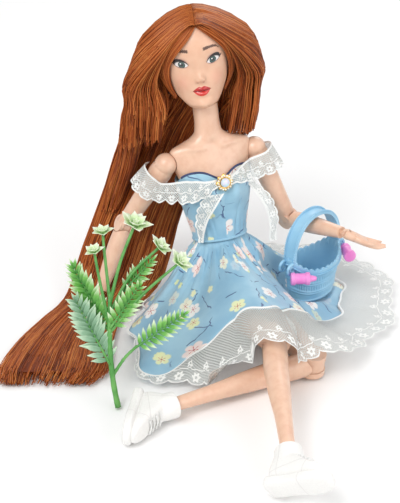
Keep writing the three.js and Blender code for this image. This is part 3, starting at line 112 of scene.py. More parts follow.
def heading(angle, lift):
    angle, lift = np.radians(angle), np.radians(lift)
    return np.stack([np.sin(angle) * np.cos(lift), -np.cos(angle) * np.cos(lift),
                     np.sin(lift) + 0 * angle], -1)


class Frame:
    """An origin with three axes. Its Z axis is given, and X lies as near as can be to a hint."""

    def __init__(self, origin, z, hint):
        self.origin = np.array(origin, float)
        self.z = unit(z)
        self.y = unit(np.cross(self.z, hint))
        self.x = np.cross(self.y, self.z)

    def at(self, x, y, z):
        x, y, z = np.broadcast_arrays(*(np.asarray(v, float) for v in (x, y, z)))
        return self.origin + x[..., None] * self.x + y[..., None] * self.y + z[..., None] * self.z

    def lathe(self, outline, turn, scale=1.0):
        """Rings round the Z axis from pairs of a radius and a height."""
        return [self.at(r * scale * np.cos(turn), r * scale * np.sin(turn), z) for r, z in outline]


def curve_through(points, count):
    """Evenly spread places on a smooth curve through a few points."""
    points = np.array(points, float)
    steps = path_steps(points)
    return columns_at(steps, points, np.linspace(0, steps[-1], count))


# %% Meshes from rings, rods and cuts
SHARP_ANGLE = rad(38)


def link(name, mesh, material=None):
    thing = bpy.data.objects.new(name, mesh)
    bpy.context.scene.collection.objects.link(thing)
    if material:
        mesh.materials.append(material)
    return thing


def shade_smooth(thing):
    thing.data.polygons.foreach_set("use_smooth", np.ones(len(thing.data.polygons), bool))
    return thing


def label(mesh, name, values):
    """A number or a vector for every point, which finishes and node groups read by its name."""
    kind, key = ("FLOAT", "value") if np.ndim(values) == 1 else ("FLOAT_VECTOR", "vector")
    layer = mesh.attributes.new(name, kind, "POINT")
    layer.data.foreach_set(key, np.asarray(values, np.float32).ravel())


def raw_mesh(name, points, edges=(), faces=()):
    """A mesh from points in millimetres."""
    mesh = bpy.data.meshes.new(name)
    mesh.from_pydata((np.asarray(points, float).reshape(-1, 3) * MM).tolist(), edges, faces)
    return mesh


def pairs(u, v):
    """Two maps as one, with a pair of values at every place."""
    return np.stack(np.broadcast_arrays(u, v), -1)


def grid_faces(rows, cols, wrap):
    row = np.arange(rows - 1)[:, None]
    col = np.arange(cols if wrap else cols - 1)[None]
    beside = (col + 1) % cols
    here, above = row * cols, (row + 1) * cols
    return np.stack([here + col, here + beside, above + beside, above + col], -1).reshape(-1, 4)


def rework(thing, change):
    """Runs a change on the editable form of a mesh."""
    shape = bmesh.new()
    shape.from_mesh(thing.data)
    change(shape)
    shape.to_mesh(thing.data)
    shape.free()
    return thing


def face_out(shape):
    bmesh.ops.recalc_face_normals(shape, faces=shape.faces)


def weld(shape):
    bmesh.ops.remove_doubles(shape, verts=shape.verts, dist=1e-7)
    face_out(shape)


def skin(name, rings, material=None, wrap=True, caps=True, uv=None):
    """A skin over rows of points. The map uv gives its two values for each row and column edge."""
    rings = np.asarray(rings, float)
    rows, cols = rings.shape[:2]
    quads = grid_faces(rows, cols, wrap)
    faces = quads.tolist()
    if caps and wrap:
        faces += [list(range(cols))[::-1], list(range((rows - 1) * cols, rows * cols))]
    thing = shade_smooth(link(name, raw_mesh(name, rings, [], faces), material))
    if uv is not None:
        spread = uv.shape[1]
        row, col = np.divmod(np.arange(len(quads)), cols if wrap else cols - 1)
        first = row * spread + col
        corners = np.stack([first, first + 1, first + spread + 1, first + spread], 1)
        values = uv.reshape(-1, 2)[corners].reshape(-1, 2)
        spare = np.zeros((sum(len(face) for face in faces[len(quads):]), 2))
        layer = thing.data.uv_layers.new(name="cloth")
        layer.data.foreach_set("uv", np.concatenate([values, spare]).astype(np.float32).ravel())
    return rework(thing, face_out) if caps and wrap else thing


def rod(start, end, radius, sides=32, end_radius=None):
    start, end = np.array(start, float), np.array(end, float)
    turn = full_turn(sides)
    run = unit(end - start)
    here = Frame(start, run, (0.3, 0.8, 0.52) if abs(run[1]) < 0.8 else (1, 0, 0.1))
    return skin("rod", here.lathe([(radius, 0), (end_radius or radius, np.linalg.norm(end - start))], turn))


def ball(centre, radius, sides=32):
    lift = np.linspace(-89, 89, sides // 2)
    turn = np.linspace(0, 360, sides, endpoint=False)
    return skin("ball", centre + radius * heading(turn[None], lift[:, None]))


def fan(here, start, end, radius, half):
    turn = np.radians(np.linspace(start, end, 12))
    y = np.concatenate([[0], radius * np.sin(turn)])
    z = np.concatenate([[0], -radius * np.cos(turn)])
    return skin("fan", [here.at(x, y, z) for x in (-half, half)])


def settle(thing):
    """The evaluated mesh takes the place of the mesh and its modifiers."""
    view = bpy.context.evaluated_depsgraph_get()
    mesh = bpy.data.meshes.new_from_object(thing.evaluated_get(view))
    thing.modifiers.clear()
    thing.data = mesh
    return thing


def carve(thing, cuts=(), joins=()):
    """Joins and then cuts other shapes, which are used up."""
    for how, others in (("UNION", joins), ("DIFFERENCE", cuts)):
        for other in others:
            step = thing.modifiers.new(how.lower(), "BOOLEAN")
            step.operation, step.solver, step.object = how, "EXACT", other
    settle(thing)
    for other in (*joins, *cuts):
        bpy.data.objects.remove(other)
    shade_smooth(thing).data.set_sharp_from_angle(angle=SHARP_ANGLE)
    return thing


def melted(thing, voxel, passes):
    """Melts overlapping forms into one skin and rounds it."""
    melt = thing.modifiers.new("melt", "REMESH")
    melt.mode, melt.voxel_size = "VOXEL", voxel * MM
    ease = thing.modifiers.new("ease", "SMOOTH")
    ease.factor, ease.iterations = 0.5, passes
    return settle(thing)


def joined(name, things, material=None):
    """Several meshes as one piece."""
    shape = bmesh.new()
    for thing in things:
        shape.from_mesh(thing.data)
        bpy.data.objects.remove(thing)
    mesh = bpy.data.meshes.new(name)
    shape.to_mesh(mesh)
    shape.free()
    return link(name, mesh, material)


def seat(thing, body, slot, *nodes):
    """Gives a finished piece its body and hides the solids that it stands for; the slot is not used."""
    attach(thing, body)
    if nodes:
        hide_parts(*nodes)
    print(thing.name, len(thing.data.polygons), "faces on", body)
    return thing


def stretch(thing, body, slot, low, high, *nodes):
    """Bakes a soft piece where it lies and hides the solids that it stands for; the body is only printed, and
    the slot and the low and high places are not used.
    """
    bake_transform(thing)
    if nodes:
        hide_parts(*nodes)
    print(thing.name, len(thing.data.polygons), "faces from torso to", body)
    return thing


# %% [markdown]
# ## Small tools for finishes
# A finish is a node tree. The class below wraps one socket, so that masks are written as plain sums and
# products, and one method makes any other node from its type, its settings and its sockets.

# %% A wire and a finish
def tint(red, green, blue):
    """A colour given as 0 to 255 on a screen, as linear light."""
    shares = [value / 255 for value in (red, green, blue)]
    return tuple(s / 12.92 if s <= 0.04045 else ((s + 0.055) / 1.055) ** 2.4 for s in shares) + (1.0,)


def by_math(operation):
    return lambda wire, *others: wire.math(operation, *others)


class Wire:
    def __init__(self, finish, socket):
        self.finish, self.socket = finish, socket

    def math(self, operation, *others):
        return self.finish.node("ShaderNodeMath", {"operation": operation}, dict(enumerate((self, *others))))

    def __rsub__(self, other):
        return self.finish.node("ShaderNodeMath", {"operation": "SUBTRACT"}, {0: other, 1: self})

    __add__ = __radd__ = by_math("ADD")
    __mul__ = __rmul__ = by_math("MULTIPLY")
    __sub__, __truediv__, __pow__ = by_math("SUBTRACT"), by_math("DIVIDE"), by_math("POWER")
    __abs__, sin, cos = by_math("ABSOLUTE"), by_math("SINE"), by_math("COSINE")
    least, most = by_math("MINIMUM"), by_math("MAXIMUM")

    def wrap(self, low, high):
        return self.math("WRAP", high, low)

    def step(self, low, high):
        """A soft step from 0 at low to 1 at high; with low above high it falls."""
        settings = {"interpolation_type": "SMOOTHSTEP"}
        if low < high:
            return self.finish.node("ShaderNodeMapRange", settings, {0: self, 1: low, 2: high})
        return 1 - self.finish.node("ShaderNodeMapRange", settings, {0: self, 1: high, 2: low})


class Finish:
    def __init__(self, name):
        self.material = bpy.data.materials.new(name)
        self.material.use_nodes = True
        self.tree = self.material.node_tree
        self.tree.nodes.clear()
        self.shader = self.tree.nodes.new("ShaderNodeBsdfPrincipled")
        self.end = self.tree.nodes.new("ShaderNodeOutputMaterial")
        self.tree.links.new(self.shader.outputs[0], self.end.inputs[0])

    def plug(self, socket, value):
        if isinstance(value, Wire):
            self.tree.links.new(value.socket, socket)
        else:
            socket.default_value = value

    def node(self, kind, settings=None, links=None, out=0):
        made = self.tree.nodes.new(kind)
        for key, value in (settings or {}).items():
            if key == "stops":
                for at, (place, colour) in enumerate(value):
                    stop = made.color_ramp.elements[at] if at < 2 else made.color_ramp.elements.new(place)
                    stop.position, stop.color = place, colour
            else:
                setattr(made, key, value)
        for key, value in (links or {}).items():
            self.plug(made.inputs[key], value)
        return Wire(self, made.outputs[out])

    def spot(self):
        return self.node("ShaderNodeTexCoord", out="Object")

    def parts(self, vector):
        return [self.node("ShaderNodeSeparateXYZ", None, {0: vector}, out) for out in range(3)]

    def uv(self):
        return self.parts(self.node("ShaderNodeUVMap", {"uv_map": "cloth"}))[:2]

    def vector(self, x, y, z=0.0):
        return self.node("ShaderNodeCombineXYZ", None, {0: x, 1: y, 2: z})

    def noise(self, vector, scale, detail=2.0, rough=0.5):
        return self.node("ShaderNodeTexNoise", None,
                         {"Vector": vector, "Scale": scale, "Detail": detail, "Roughness": rough})

    def mix(self, share, a, b):
        return self.node("ShaderNodeMix", {"data_type": "RGBA"}, {0: share, 6: a, 7: b}, 2)

    def along(self, spot, origin, axis):
        """Millimetres from an origin along an axis."""
        off = self.node("ShaderNodeVectorMath", {"operation": "SUBTRACT"}, {0: spot, 1: tuple(origin * MM)})
        run = self.node("ShaderNodeVectorMath", {"operation": "DOT_PRODUCT"}, {0: off, 1: tuple(axis)}, 1)
        return run * 1000.0

    def attribute(self, name):
        return self.node("ShaderNodeAttribute", {"attribute_name": name}, None, "Fac")

    def bump(self, height, strength, depth=0.0002):
        return self.node("ShaderNodeBump", None, {"Strength": strength, "Distance": depth, "Height": height})

    def coat(self, **values):
        for key, value in values.items():
            self.plug(self.shader.inputs[key.replace("_", " ")], value)
        return self.material


# %% [markdown]
# ## The skeleton
# The doll sits with one leg crossed over the other. These are the same joints and directions as in the
# solids, so that every smooth piece lands on the joint that moves it.

# %% Joints and directions
HIP_BALL, SHOULDER_BALL, ARM_CAP, ARM_SET, NECK_RADIUS = 8.2, 6.2, 5.4, 1.2, 5.9
ELBOW_RADIUS, KNEE_RADIUS, ANKLE_RADIUS = 4.2, 6.1, 3.0
NECK_RISE, HEAD_RISE, SHOULDER_RISE, PELVIS_SPLIT = 90.6, 100.2, 66.0, 15.0
THIGH_LENGTH, SHIN_LENGTH, UPPER_ARM_LENGTH, FOREARM_LENGTH = 70.0, 78.0, 42.0, 37.0
FIT = 0.3
BODY_TURN, HEAD_TURN = 20, 12


def seated(origin, tilt, lean, turn):
    """A frame that stands up, tilted to a side and leant back by degrees, and turned about the vertical."""
    return Frame(origin, (math.sin(rad(tilt)), math.sin(rad(lean)), 1),
                 (math.cos(rad(turn)), math.sin(rad(turn)), 0))


TORSO = seated((0, 0, 13), -6.6, 10.6, BODY_TURN)
KNOB = TORSO.at(0, 0, HEAD_RISE)
HEAD = seated(KNOB, -4.5, 6, HEAD_TURN)
SIDES = {"right": -1, "left": 1}
POSE = {
    "right": dict(thigh=(26.3, 7.8), shin=(2.6, -7.6), upper=(-104.8, -58.8), fore=(-46, -61.83),
                  hand=(-30, -12)),
    "left": dict(thigh=(24, -5.2), shin=(-61.7, 0), upper=(81.2, -64.7), fore=(45, 7.9), hand=(96, -27)),
}
bones = {}
for key, sign in SIDES.items():
    bone = {name: heading(*value) for name, value in POSE[key].items()}
    bone["shoulder"] = TORSO.at(sign * 22, 0, SHOULDER_RISE)
    bone["hip"] = TORSO.origin + heading(110, 0) * sign * 11
    bone["elbow"] = bone["shoulder"] + bone["upper"] * UPPER_ARM_LENGTH
    bone["wrist"] = bone["elbow"] + bone["fore"] * FOREARM_LENGTH
    bone["knee"] = bone["hip"] + bone["thigh"] * THIGH_LENGTH
    bone["ankle"] = bone["knee"] + bone["shin"] * SHIN_LENGTH
    bone["elbow_axis"] = unit(np.cross(bone["fore"], bone["upper"]))
    bone["knee_axis"] = unit(np.cross(bone["thigh"], bone["shin"]))
    bone["wrist_axis"] = unit(np.cross(bone["hand"], (0, 0, 1)))
    bones[key] = bone
    print(key, "wrist", bone["wrist"].round(1), "ankle", bone["ankle"].round(1))

# %% [markdown]
# ## Moulded skin
# The body is soft-sheen plastic in a warm pink. A real casting is not one flat colour: it has a faint mottle
# and a very fine orange-peel surface, so both come from noise on the object's own coordinates.

# %% Skin finish
SKIN_TONE, SKIN_SHADE = tint(230, 190, 163), tint(216, 166, 139)
SKIN_DEPTH = dict(Subsurface_Weight=0.06, Subsurface_Radius=(0.004, 0.0016, 0.001))
PEEL_SCALE = 2600.0


def skin_base(finish, spot):
    mottle = finish.noise(spot, 260.0, 3.0)
    return finish.mix(mottle.step(0.35, 0.75) * 0.5, SKIN_TONE, SKIN_SHADE), mottle


def skin_finish():
    finish = Finish("skin_plastic")
    spot = finish.spot()
    colour, mottle = skin_base(finish, spot)
    peel = finish.noise(spot, PEEL_SCALE)
    return finish.coat(Base_Color=colour, Roughness=mottle * 0.1 + 0.34,
                       Normal=finish.bump(peel, 0.06, 0.0001), Coat_Weight=0.5, Coat_Roughness=0.1,
                       **SKIN_DEPTH)


SKIN = skin_finish()

# %% [markdown]
# ## Torso
# Rings up the spine give the trunk: hips, waist, bust, sloping shoulders and a slim neck. It is cast in a
# front and a back shell, so the smooth form is cut along the side seam, and the shoulder balls leave round
# sockets.

# %% Torso shells
TORSO_HALF = [[-13, 8], [-4, 15], [2, 16.4], [10, 15.6], [20, 12], [27, 11.2], [36, 13.2], [46, 15.4],
              [55, 16.6], [61, 18.6], [66, 20.4], [69.4, 20.4], [71.6, 18.6], [73.2, 14], [75, 9.6],
              [77.8, 6.6], [NECK_RISE, NECK_RADIUS]]
TORSO_FRONT = [[-13, 4], [-4, 8.6], [6, 10], [20, 8.8], [27, 8.4], [38, 9.4], [49, 10.6], [58, 9.6], [66, 7],
               [72, 5.8], [78, NECK_RADIUS], [NECK_RISE, NECK_RADIUS]]
TORSO_BACK = [[-13, 7], [-6, 12.6], [4, 13], [16, 9.6], [27, 7.8], [40, 9], [54, 10], [66, 8.4], [72, 6.6],
              [78, NECK_RADIUS], [NECK_RISE, NECK_RADIUS]]
WAIST_RISE, BUST_RISE, BUST_DEPTH = 26.0, 49.0, 3.6


def torso_point(turn, rise, off=0.0, bare=False):
    half = profile(TORSO_HALF, rise) + off
    depth = np.where(np.cos(turn) > 0, profile(TORSO_FRONT, rise), profile(TORSO_BACK, rise)) + off
    x = half * np.sin(turn)
    front = np.maximum(np.cos(turn), 0)
    chest = BUST_DEPTH * hump(np.abs(x) - 6.4, 4.6) * hump(rise - BUST_RISE, 6.5) * front
    if bare:
        side = np.abs(x)
        collar = (0.7 * hump(rise - 70.2 - 0.08 * side, 1.1) * smooth(2.5, 5, side)
                  * (1 - smooth(11, 16, side)))
        notch = -0.8 * hump(x, 1.6) * hump(rise - 72.5, 1.8)
        chest = chest + (collar + notch) * front
    return TORSO.at(x, -depth * np.cos(turn) - chest, rise)


def slice_off(thing, point, normal):
    """Keeps what lies behind a plane and closes the cut."""
    def bisect(shape):
        parts = shape.verts[:] + shape.edges[:] + shape.faces[:]
        cut = bmesh.ops.bisect_plane(shape, geom=parts, plane_co=Vector(point) * MM, plane_no=Vector(normal),
                                     clear_outer=True)
        edges = [item for item in cut["geom_cut"] if isinstance(item, bmesh.types.BMEdge)]
        bmesh.ops.holes_fill(shape, edges=edges, sides=0)

    rework(thing, bisect).data.set_sharp_from_angle(angle=SHARP_ANGLE)


turn = full_turn(96)
trunk_rises = np.linspace(12, NECK_RISE, 130)
for name, node, way in (("torso_front_shell", "torso_front", 1), ("torso_back_shell", "torso_back", -1)):
    shell = skin(name, torso_point(turn[None], trunk_rises[:, None], bare=True), SKIN)
    carve(shell, [ball(bones[key]["shoulder"] + bones[key]["upper"] * ARM_SET, ARM_CAP + 0.35, 48)
                  for key in SIDES])
    slice_off(shell, TORSO.at(0, 0, PELVIS_SPLIT + FIT / 2), -TORSO.z)
    slice_off(shell, TORSO.at(0, -way * 0.06, 0), way * TORSO.y)
    seat(shell, "torso", "skin", node)
paired = ("shoulder_hub", "hip_hub", "elbow_pin", "knee_pin", "wrist_peg", "foot")
for node in ["pelvis", "neck_knob"] + [f"{key}_{word}" for word in paired for key in SIDES]:
    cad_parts[node].data.materials.clear()
    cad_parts[node].data.materials.append(SKIN)

# %% [markdown]
# ## Head and painted face
# The head is a smooth egg whose front is drawn out by small humps: nose, lips, chin, cheeks and hollows for
# the eyes. The features are laid out on the face's own two axes, in millimetres across and up, and the paint
# uses the same two axes, so that the lips' colour lies on the lips.

# %% Head form
HEAD_HALF = [[-12, 8.6], [-9, 9.2], [-6, 10], [-2, 11.6], [3, 13.6], [9, 15], [16, 15.6], [23, 15], [29, 12],
             [33, 7.6], [35, 2]]
HEAD_FRONT = [[-12, 8], [-9, 11.6], [-6, 13.2], [-2, 13.2], [4, 13.6], [10, 13.4], [16, 14.6], [23, 14.2],
              [29, 11], [33, 6.6], [35, 1.6]]
HEAD_BACK = [[-12, 9], [-6, 9.6], [0, 11.6], [6, 15.6], [14, 18.6], [22, 18.4], [28, 15], [33, 9], [35, 2]]
HEAD_SET = -2.0
FACE_ARC, FACE_RADIUS, FACE_RISE, FACE_ROLL = -1.6, 13.5, 8.0, rad(5)
EYE_OUT, EYE_UP, MOUTH_UP = 7.5, 5.75, -7.7


def face_axes(arc, rise):
    across, up = arc - FACE_ARC, rise - FACE_RISE
    return (across * math.cos(FACE_ROLL) + up * math.sin(FACE_ROLL),
            up * math.cos(FACE_ROLL) - across * math.sin(FACE_ROLL))


def head_point(turn, rise, off=0.0, face=True):
    half = profile(HEAD_HALF, rise) + off
    depth = np.where(np.cos(turn) > 0, profile(HEAD_FRONT, rise), profile(HEAD_BACK, rise)) + off
    x, y = half * np.sin(turn), -depth * np.cos(turn)
    if face:
        u, v = face_axes(FACE_RADIUS * np.arctan2(x, -y), rise)
        side = np.abs(u)
        relief = 0.7 * hump(u, 1.9) * hump(v - 1.8, 4.2) + 2.1 * hump(u, 2.1) * hump(v + 1.4, 2.0)
        relief += 0.8 * hump(side - 1.6, 0.8) * hump(v + 2.3, 0.9) - 0.2 * hump(u, 0.55) * hump(v + 4.6, 0.9)
        relief += 0.6 * hump(side - EYE_OUT, 2.6) * hump(v - EYE_UP, 1.7)
        relief -= 1.1 * hump(side - EYE_OUT, 3.4) * hump(v - EYE_UP, 3)
        relief += 0.8 * hump(u, 3.0) * hump(v - MOUTH_UP - 1.1, 0.85)
        relief += 1.0 * hump(u, 2.5) * hump(v - MOUTH_UP + 1.2, 0.95)
        relief += -0.5 * hump(u, 3.4) * hump(v - MOUTH_UP, 0.32) - 0.4 * hump(u, 3) * hump(v + 11.4, 0.9)
        relief += 1.3 * hump(u, 3.6) * hump(v + 15, 2.4) + 0.6 * hump(side - 8.6, 4) * hump(v + 3.5, 4)
        y = y - np.maximum(np.cos(turn), 0) * relief
    return HEAD.at(x + HEAD_SET, y, rise)


even = full_turn(176)
head_turn = even - 0.42 * np.sin(even)
jaw = lerp(-7.2, -9.0, smooth(-0.1, 0.85, np.cos(head_turn)))
share = np.linspace(0, 1, 120, endpoint=False)[:, None]
head_rises = np.concatenate([lerp(jaw[None], 16, share), np.linspace(16, 34.9, 40)[:, None] + 0 * jaw])
cheek = smooth(0.9, 0.1, np.cos(head_turn))
tuck = np.maximum(1 - (head_rises - jaw) / lerp(3.0, 7.0, cheek), 0) ** 2
head_rings = list(head_point(head_turn[None], head_rises, lerp(-1.9, -3.0, cheek) * tuck))
for radius, rise in ((6.9, 0.3), (6.8, 1.4), (6.8, 3.2), (5.6, 6.0), (3.0, 7.2)):
    round_neck = TORSO.at(radius * np.sin(head_turn), -radius * np.cos(head_turn), 0)
    head_rings.insert(0, round_neck + TORSO.z * (HEAD_RISE + jaw + rise)[:, None])
head = skin("painted_head", head_rings)
print("head", len(head.data.polygons), "faces")


# %% Face paint
def face_finish():
    finish = Finish("painted_face")
    spot = finish.spot()
    colour, mottle = skin_base(finish, spot)
    colour = finish.mix(0.4, colour, tint(216, 166, 134))
    x = finish.along(spot, KNOB, HEAD.x) - HEAD_SET
    y = finish.along(spot, KNOB, HEAD.y)
    rise = finish.along(spot, KNOB, HEAD.z)
    arc = x.math("ARCTAN2", y * -1.0) * FACE_RADIUS
    u, v = face_axes(arc, rise)
    side = abs(u)
    front = (y * -1.0).step(3.0, 6.0)
    wobble = finish.noise(spot, 900.0, 2.0) - 0.5

    def paint(below, mask, shade):
        return finish.mix(mask * front, below, shade)

    cheeks = side.step(14.0, 8.0) * side.step(3.5, 8.0) * abs(v + 3.0).step(6.0, 0.0)
    colour = paint(colour, cheeks * 0.22, tint(226, 128, 112))
    # Two darker dots under the nose: painted shade for the nostrils, which the form does not hollow.
    nostril = abs(side - 1.25).step(0.75, 0.1) * abs(v + 3.25).step(0.55, 0.1)
    colour = paint(colour, nostril * 0.55, tint(150, 84, 66))

    # Eyes: the lids are two shallow arches over a width of the eye
    e = (side - EYE_OUT) / 3.2
    up = v - EYE_UP - (side - EYE_OUT) * 0.13
    arch = (1.0 - e * e).most(0.0)
    top, low = arch ** 0.62 * 1.72, arch ** 0.8 * -1.3
    inside = abs(e).step(1.04, 0.98)
    opening = (up - low).step(-0.08, 0.1) * (top - up).step(-0.08, 0.1) * inside
    shadow = (up - top).step(2.6, 0.1) * (up - low).step(-0.9, 0.2) * abs(e).step(1.35, 0.75)
    colour = paint(colour, shadow * 0.6, tint(140, 98, 108))
    crease = abs(up - top - 1.15).step(0.2, 0.04) * abs(e).step(1.05, 0.7)
    colour = paint(colour, crease * 0.55, tint(120, 74, 66))
    colour = paint(colour, opening, tint(230, 225, 223))
    # The top of the white is painted greyer: a painted shade under the upper lid.
    colour = paint(colour, opening * (top - up).step(0.9, 0.0) * 0.45, tint(140, 128, 132))
    gaze = u - u.math("SIGN") * (EYE_OUT - 0.25)
    away = (gaze ** 2 + (v - EYE_UP - 0.1) ** 2) ** 0.5
    iris = away.step(1.74, 1.6) * opening
    streaks = finish.noise(finish.vector((u * 3.0).sin() * 0.4, (v * 3.0).cos() * 0.4, away * 0.2), 3.0, 4.0)
    iris_shade = finish.mix(away.step(0.7, 1.75) * 0.8 + streaks * 0.3 - 0.1, tint(66, 102, 94),
                            tint(20, 34, 36))
    colour = finish.mix(iris * front, colour, iris_shade)
    colour = paint(colour, iris * away.step(0.9, 0.76), tint(16, 20, 22))
    glint = ((gaze + 0.4) ** 2 + (v - EYE_UP - 0.65) ** 2) ** 0.5
    colour = paint(colour, iris * glint.step(0.36, 0.26), tint(255, 255, 255))
    thick = (e + 1.2) * 0.55 + 0.4
    over = (up - top) / thick
    lash = over.step(-0.25, 0.05) * over.step(1.25, 0.95) * abs(e).step(1.1, 1.02)
    wing = abs(up - 0.25 - (e - 0.9) * 1.9).step(0.55, 0.3) * e.step(0.8, 0.95) * e.step(1.5, 1.2)
    hairs = ((e - (up - top) * 0.16) * 30.0).sin().step(0.1, 0.6)
    fringe = (hairs * (up - top).step(1.7, 0.6) * (up - top).step(0.1, 0.3)
              * e.step(0.1, 0.5) * e.step(1.15, 1.0))
    colour = paint(colour, lash.most(wing).most(fringe * 0.8), tint(26, 18, 18))
    lower = abs(up - low + 0.06).step(0.24, 0.08) * e.step(-0.9, -0.2) * e.step(1.1, 1.0)
    colour = paint(colour, lower * 0.8, tint(74, 44, 42))

    # Brows: an arch with hair strokes along its edges
    off = side - 7.4
    line = 12.4 - off.least(0.0) ** 2 * 0.03 - off.most(0.0) ** 2 * 0.13
    half = (side - 3.0) * -0.055 + 0.78
    strokes = (side * 7.0 + v * 5.0).sin() * 0.1 + wobble * 0.5
    brow = (abs(v - line) - (half + strokes)).step(0.18, -0.12)
    brow = brow * side.step(2.9, 3.6) * side.step(11.2, 10.2)
    colour = paint(colour, brow * 0.92, tint(70, 42, 34))

    # Lips: an upper bow and a full lower curve that meet in a dark line
    across = u / 4.35
    bow = (1.0 - across * across).most(0.0)
    dip = (u * u * -1.6).math("EXPONENT") * 0.5
    smile = v - across * across * 0.45
    upper = bow ** 1.1 * 2.5 - dip + MOUTH_UP
    under = bow ** 1.05 * -2.4 + MOUTH_UP
    lips = ((upper - smile).step(-0.14, 0.12) * (smile - under).step(-0.14, 0.12)
            * abs(across).step(1.02, 0.97))
    # The upper lip is painted a deeper red and the lower a lighter one: painted shade on the upper lip and a
    # painted highlight on the lower.
    red = finish.mix((v - MOUTH_UP).step(0.5, -1.2), tint(182, 24, 20), tint(216, 50, 38))
    red = finish.mix((u * 9.0 + wobble * 3.0).sin().step(0.4, 1.0) * 0.18, red, tint(140, 20, 22))
    colour = finish.mix(lips * front, colour, red)
    parting = abs(smile - MOUTH_UP - (dip * 0.35 - 0.05)).step(0.26, 0.08) * abs(across).step(1.04, 0.9)
    colour = paint(colour, parting * 0.85, tint(92, 12, 14))
    gloss = lips.most(opening)
    peel = finish.noise(spot, PEEL_SCALE)
    return finish.coat(Base_Color=colour, Roughness=(mottle * 0.08 + 0.38) - gloss * 0.22,
                       Normal=finish.bump(peel, 0.05, 0.0001), Coat_Weight=gloss * 0.5 + 0.16,
                       Coat_Roughness=0.2, **SKIN_DEPTH)


head.data.materials.append(face_finish())
seat(head, "head", "skin", "head")

# %% [markdown]
# ## Arms and legs
# Each limb is a tapering form whose end is cut into a fork, and the next limb carries the tongue that turns
# in it on a pin. The smooth forms get the same cuts as the solids, so that the joint lines show as on a real
# casting.


# %% Limb forms
# Rows give the run along the limb, half its width, and its depth to the front and the back
UPPER_ARM = [[-1, 4.6, 4.6, 4.6], [-5, 5.5, 5.3, 5.5], [-12, 5.3, 5.3, 5.5], [-20, 4.9, 5.1, 5.1],
             [-30, 4.5, 4.6, 4.6], [-38, 4.2, 4.2, 4.2], [-42, 4, 3.8, 3.8]]
FOREARM = [[-1, 3.8, 3.8, 3.8], [-5, 4.3, 4.2, 4.3], [-11, 4.6, 4.4, 4.4], [-20, 4.1, 4, 4],
           [-30, 3.3, 3.1, 3.1], [-34, 3, 2.7, 2.7]]
THIGH = [[-2, 6.6, 6.6, 6.6], [-8, 8, 7.8, 7.8], [-18, 7.9, 7.8, 7.8], [-32, 7.2, 7.3, 7.2],
         [-46, 6.5, 6.7, 6.5], [-64, 6.1, 6.1, 6.1], [-70, 5.8, 5.7, 5.7]]
SHIN = [[-2, 5.4, 5.4, 5.4], [-8, 5.7, 5.5, 5.6], [-20, 5.5, 5, 6.1], [-34, 4.9, 4.5, 5.4],
        [-50, 3.8, 3.7, 3.9], [-68, 3.1, 3.1, 3.1], [-78, 2.4, 2.4, 2.4]]


def limb(name, here, stations, sides=44, rows=90):
    stations = np.array(stations, float)
    run = np.linspace(-stations[0, 0], -stations[-1, 0], rows)
    half, front, back = columns_at(-stations[:, 0], stations[:, 1:], run).T[..., None]
    turn = full_turn(sides)[None]
    depth = np.where(np.cos(turn) > 0, front, back)
    return skin(name, here.at(half * np.sin(turn), -depth * np.cos(turn), -run[:, None]), SKIN)


def hinged(upper, lower, centre, axis, above, below, radius, bend):
    """Cuts a fork into the upper limb and gives the lower one its tongue."""
    half, side = radius * 0.36, radius * 0.86
    reach = radius * 1.7
    span = lambda width, size: rod(centre - axis * width, centre + axis * width, size, 40)
    ends = sorted((-33 * bend, 128 * bend))
    slot = fan(Frame(centre, -above, axis), *ends, reach, half + FIT)
    carve(upper, [span(half + FIT, radius + FIT), slot], [span(side, radius)])
    clear = span(40, radius + FIT)
    relief = rod(centre, centre - above * radius * 4, radius * 1.05 + FIT, 40, radius * 1.15 + FIT)
    here = Frame(centre, -below, axis)
    y = np.array([-1, 1, 1, -1]) * radius / 2
    neck = skin("neck", [here.at(x, y, np.array([0, 0, -1, -1]) * reach) for x in (-half, half)])
    carve(lower, [clear, relief])
    carve(lower, [], [neck, span(half, radius - FIT)])


def jointed(key, words, rows, runs, joints, ball_at, ball_radius, radius, bend):
    """A pair of limbs on one side, the upper with a ball at its root and the lower on a hinge."""
    bone = bones[key]
    axis = bone[joints[1] + "_axis"]
    upper, lower = (limb(f"{key}_{word}_skin", Frame(bone[joint], -bone[run], axis), row)
                    for word, row, run, joint in zip(words, rows, runs, joints))
    carve(upper, [], [ball(ball_at, *ball_radius)])
    hinged(upper, lower, bone[joints[1]], axis, bone[runs[0]], bone[runs[1]], radius, bend)
    for word, thing in zip(words, (upper, lower)):
        seat(thing, f"{key}_{word}", "skin", f"{key}_{word}")


for key, bone in bones.items():
    jointed(key, ("upper_arm", "forearm"), (UPPER_ARM, FOREARM), ("upper", "fore"), ("shoulder", "elbow"),
            bone["shoulder"] + bone["upper"] * ARM_SET, (ARM_CAP, 48), ELBOW_RADIUS, -1)
    jointed(key, ("thigh", "shin"), (THIGH, SHIN), ("thigh", "shin"), ("hip", "knee"),
            bone["hip"], (HIP_BALL, 40), KNEE_RADIUS, 1)

# %% [markdown]
# ## Hands
# A doll's hand is one soft casting. A palm, four fingers and a thumb are modelled apart, then a remesh melts
# them into one skin and a smoothing pass rounds the webs between the fingers. The wrist keeps its slot for
# the peg.


# %% Hands
PALM = [[1.2, 2.3, 2, 2], [0, 2.8, 2.4, 2.4], [-3, 3.1, 2.2, 2.4], [-7, 3.9, 1.8, 2], [-10, 4, 1.5, 1.7],
        [-11.2, 3.6, 1.1, 1.3]]
FINGERS = (-3, 9.2), (-1.02, 10.8), (0.96, 10.4), (2.92, 8)
FINGER_RADII, THUMB_RADII = [1.15, 1.05, 1.06, 0.95, 0.7], [1.7, 1.35, 1.15, 0.75]


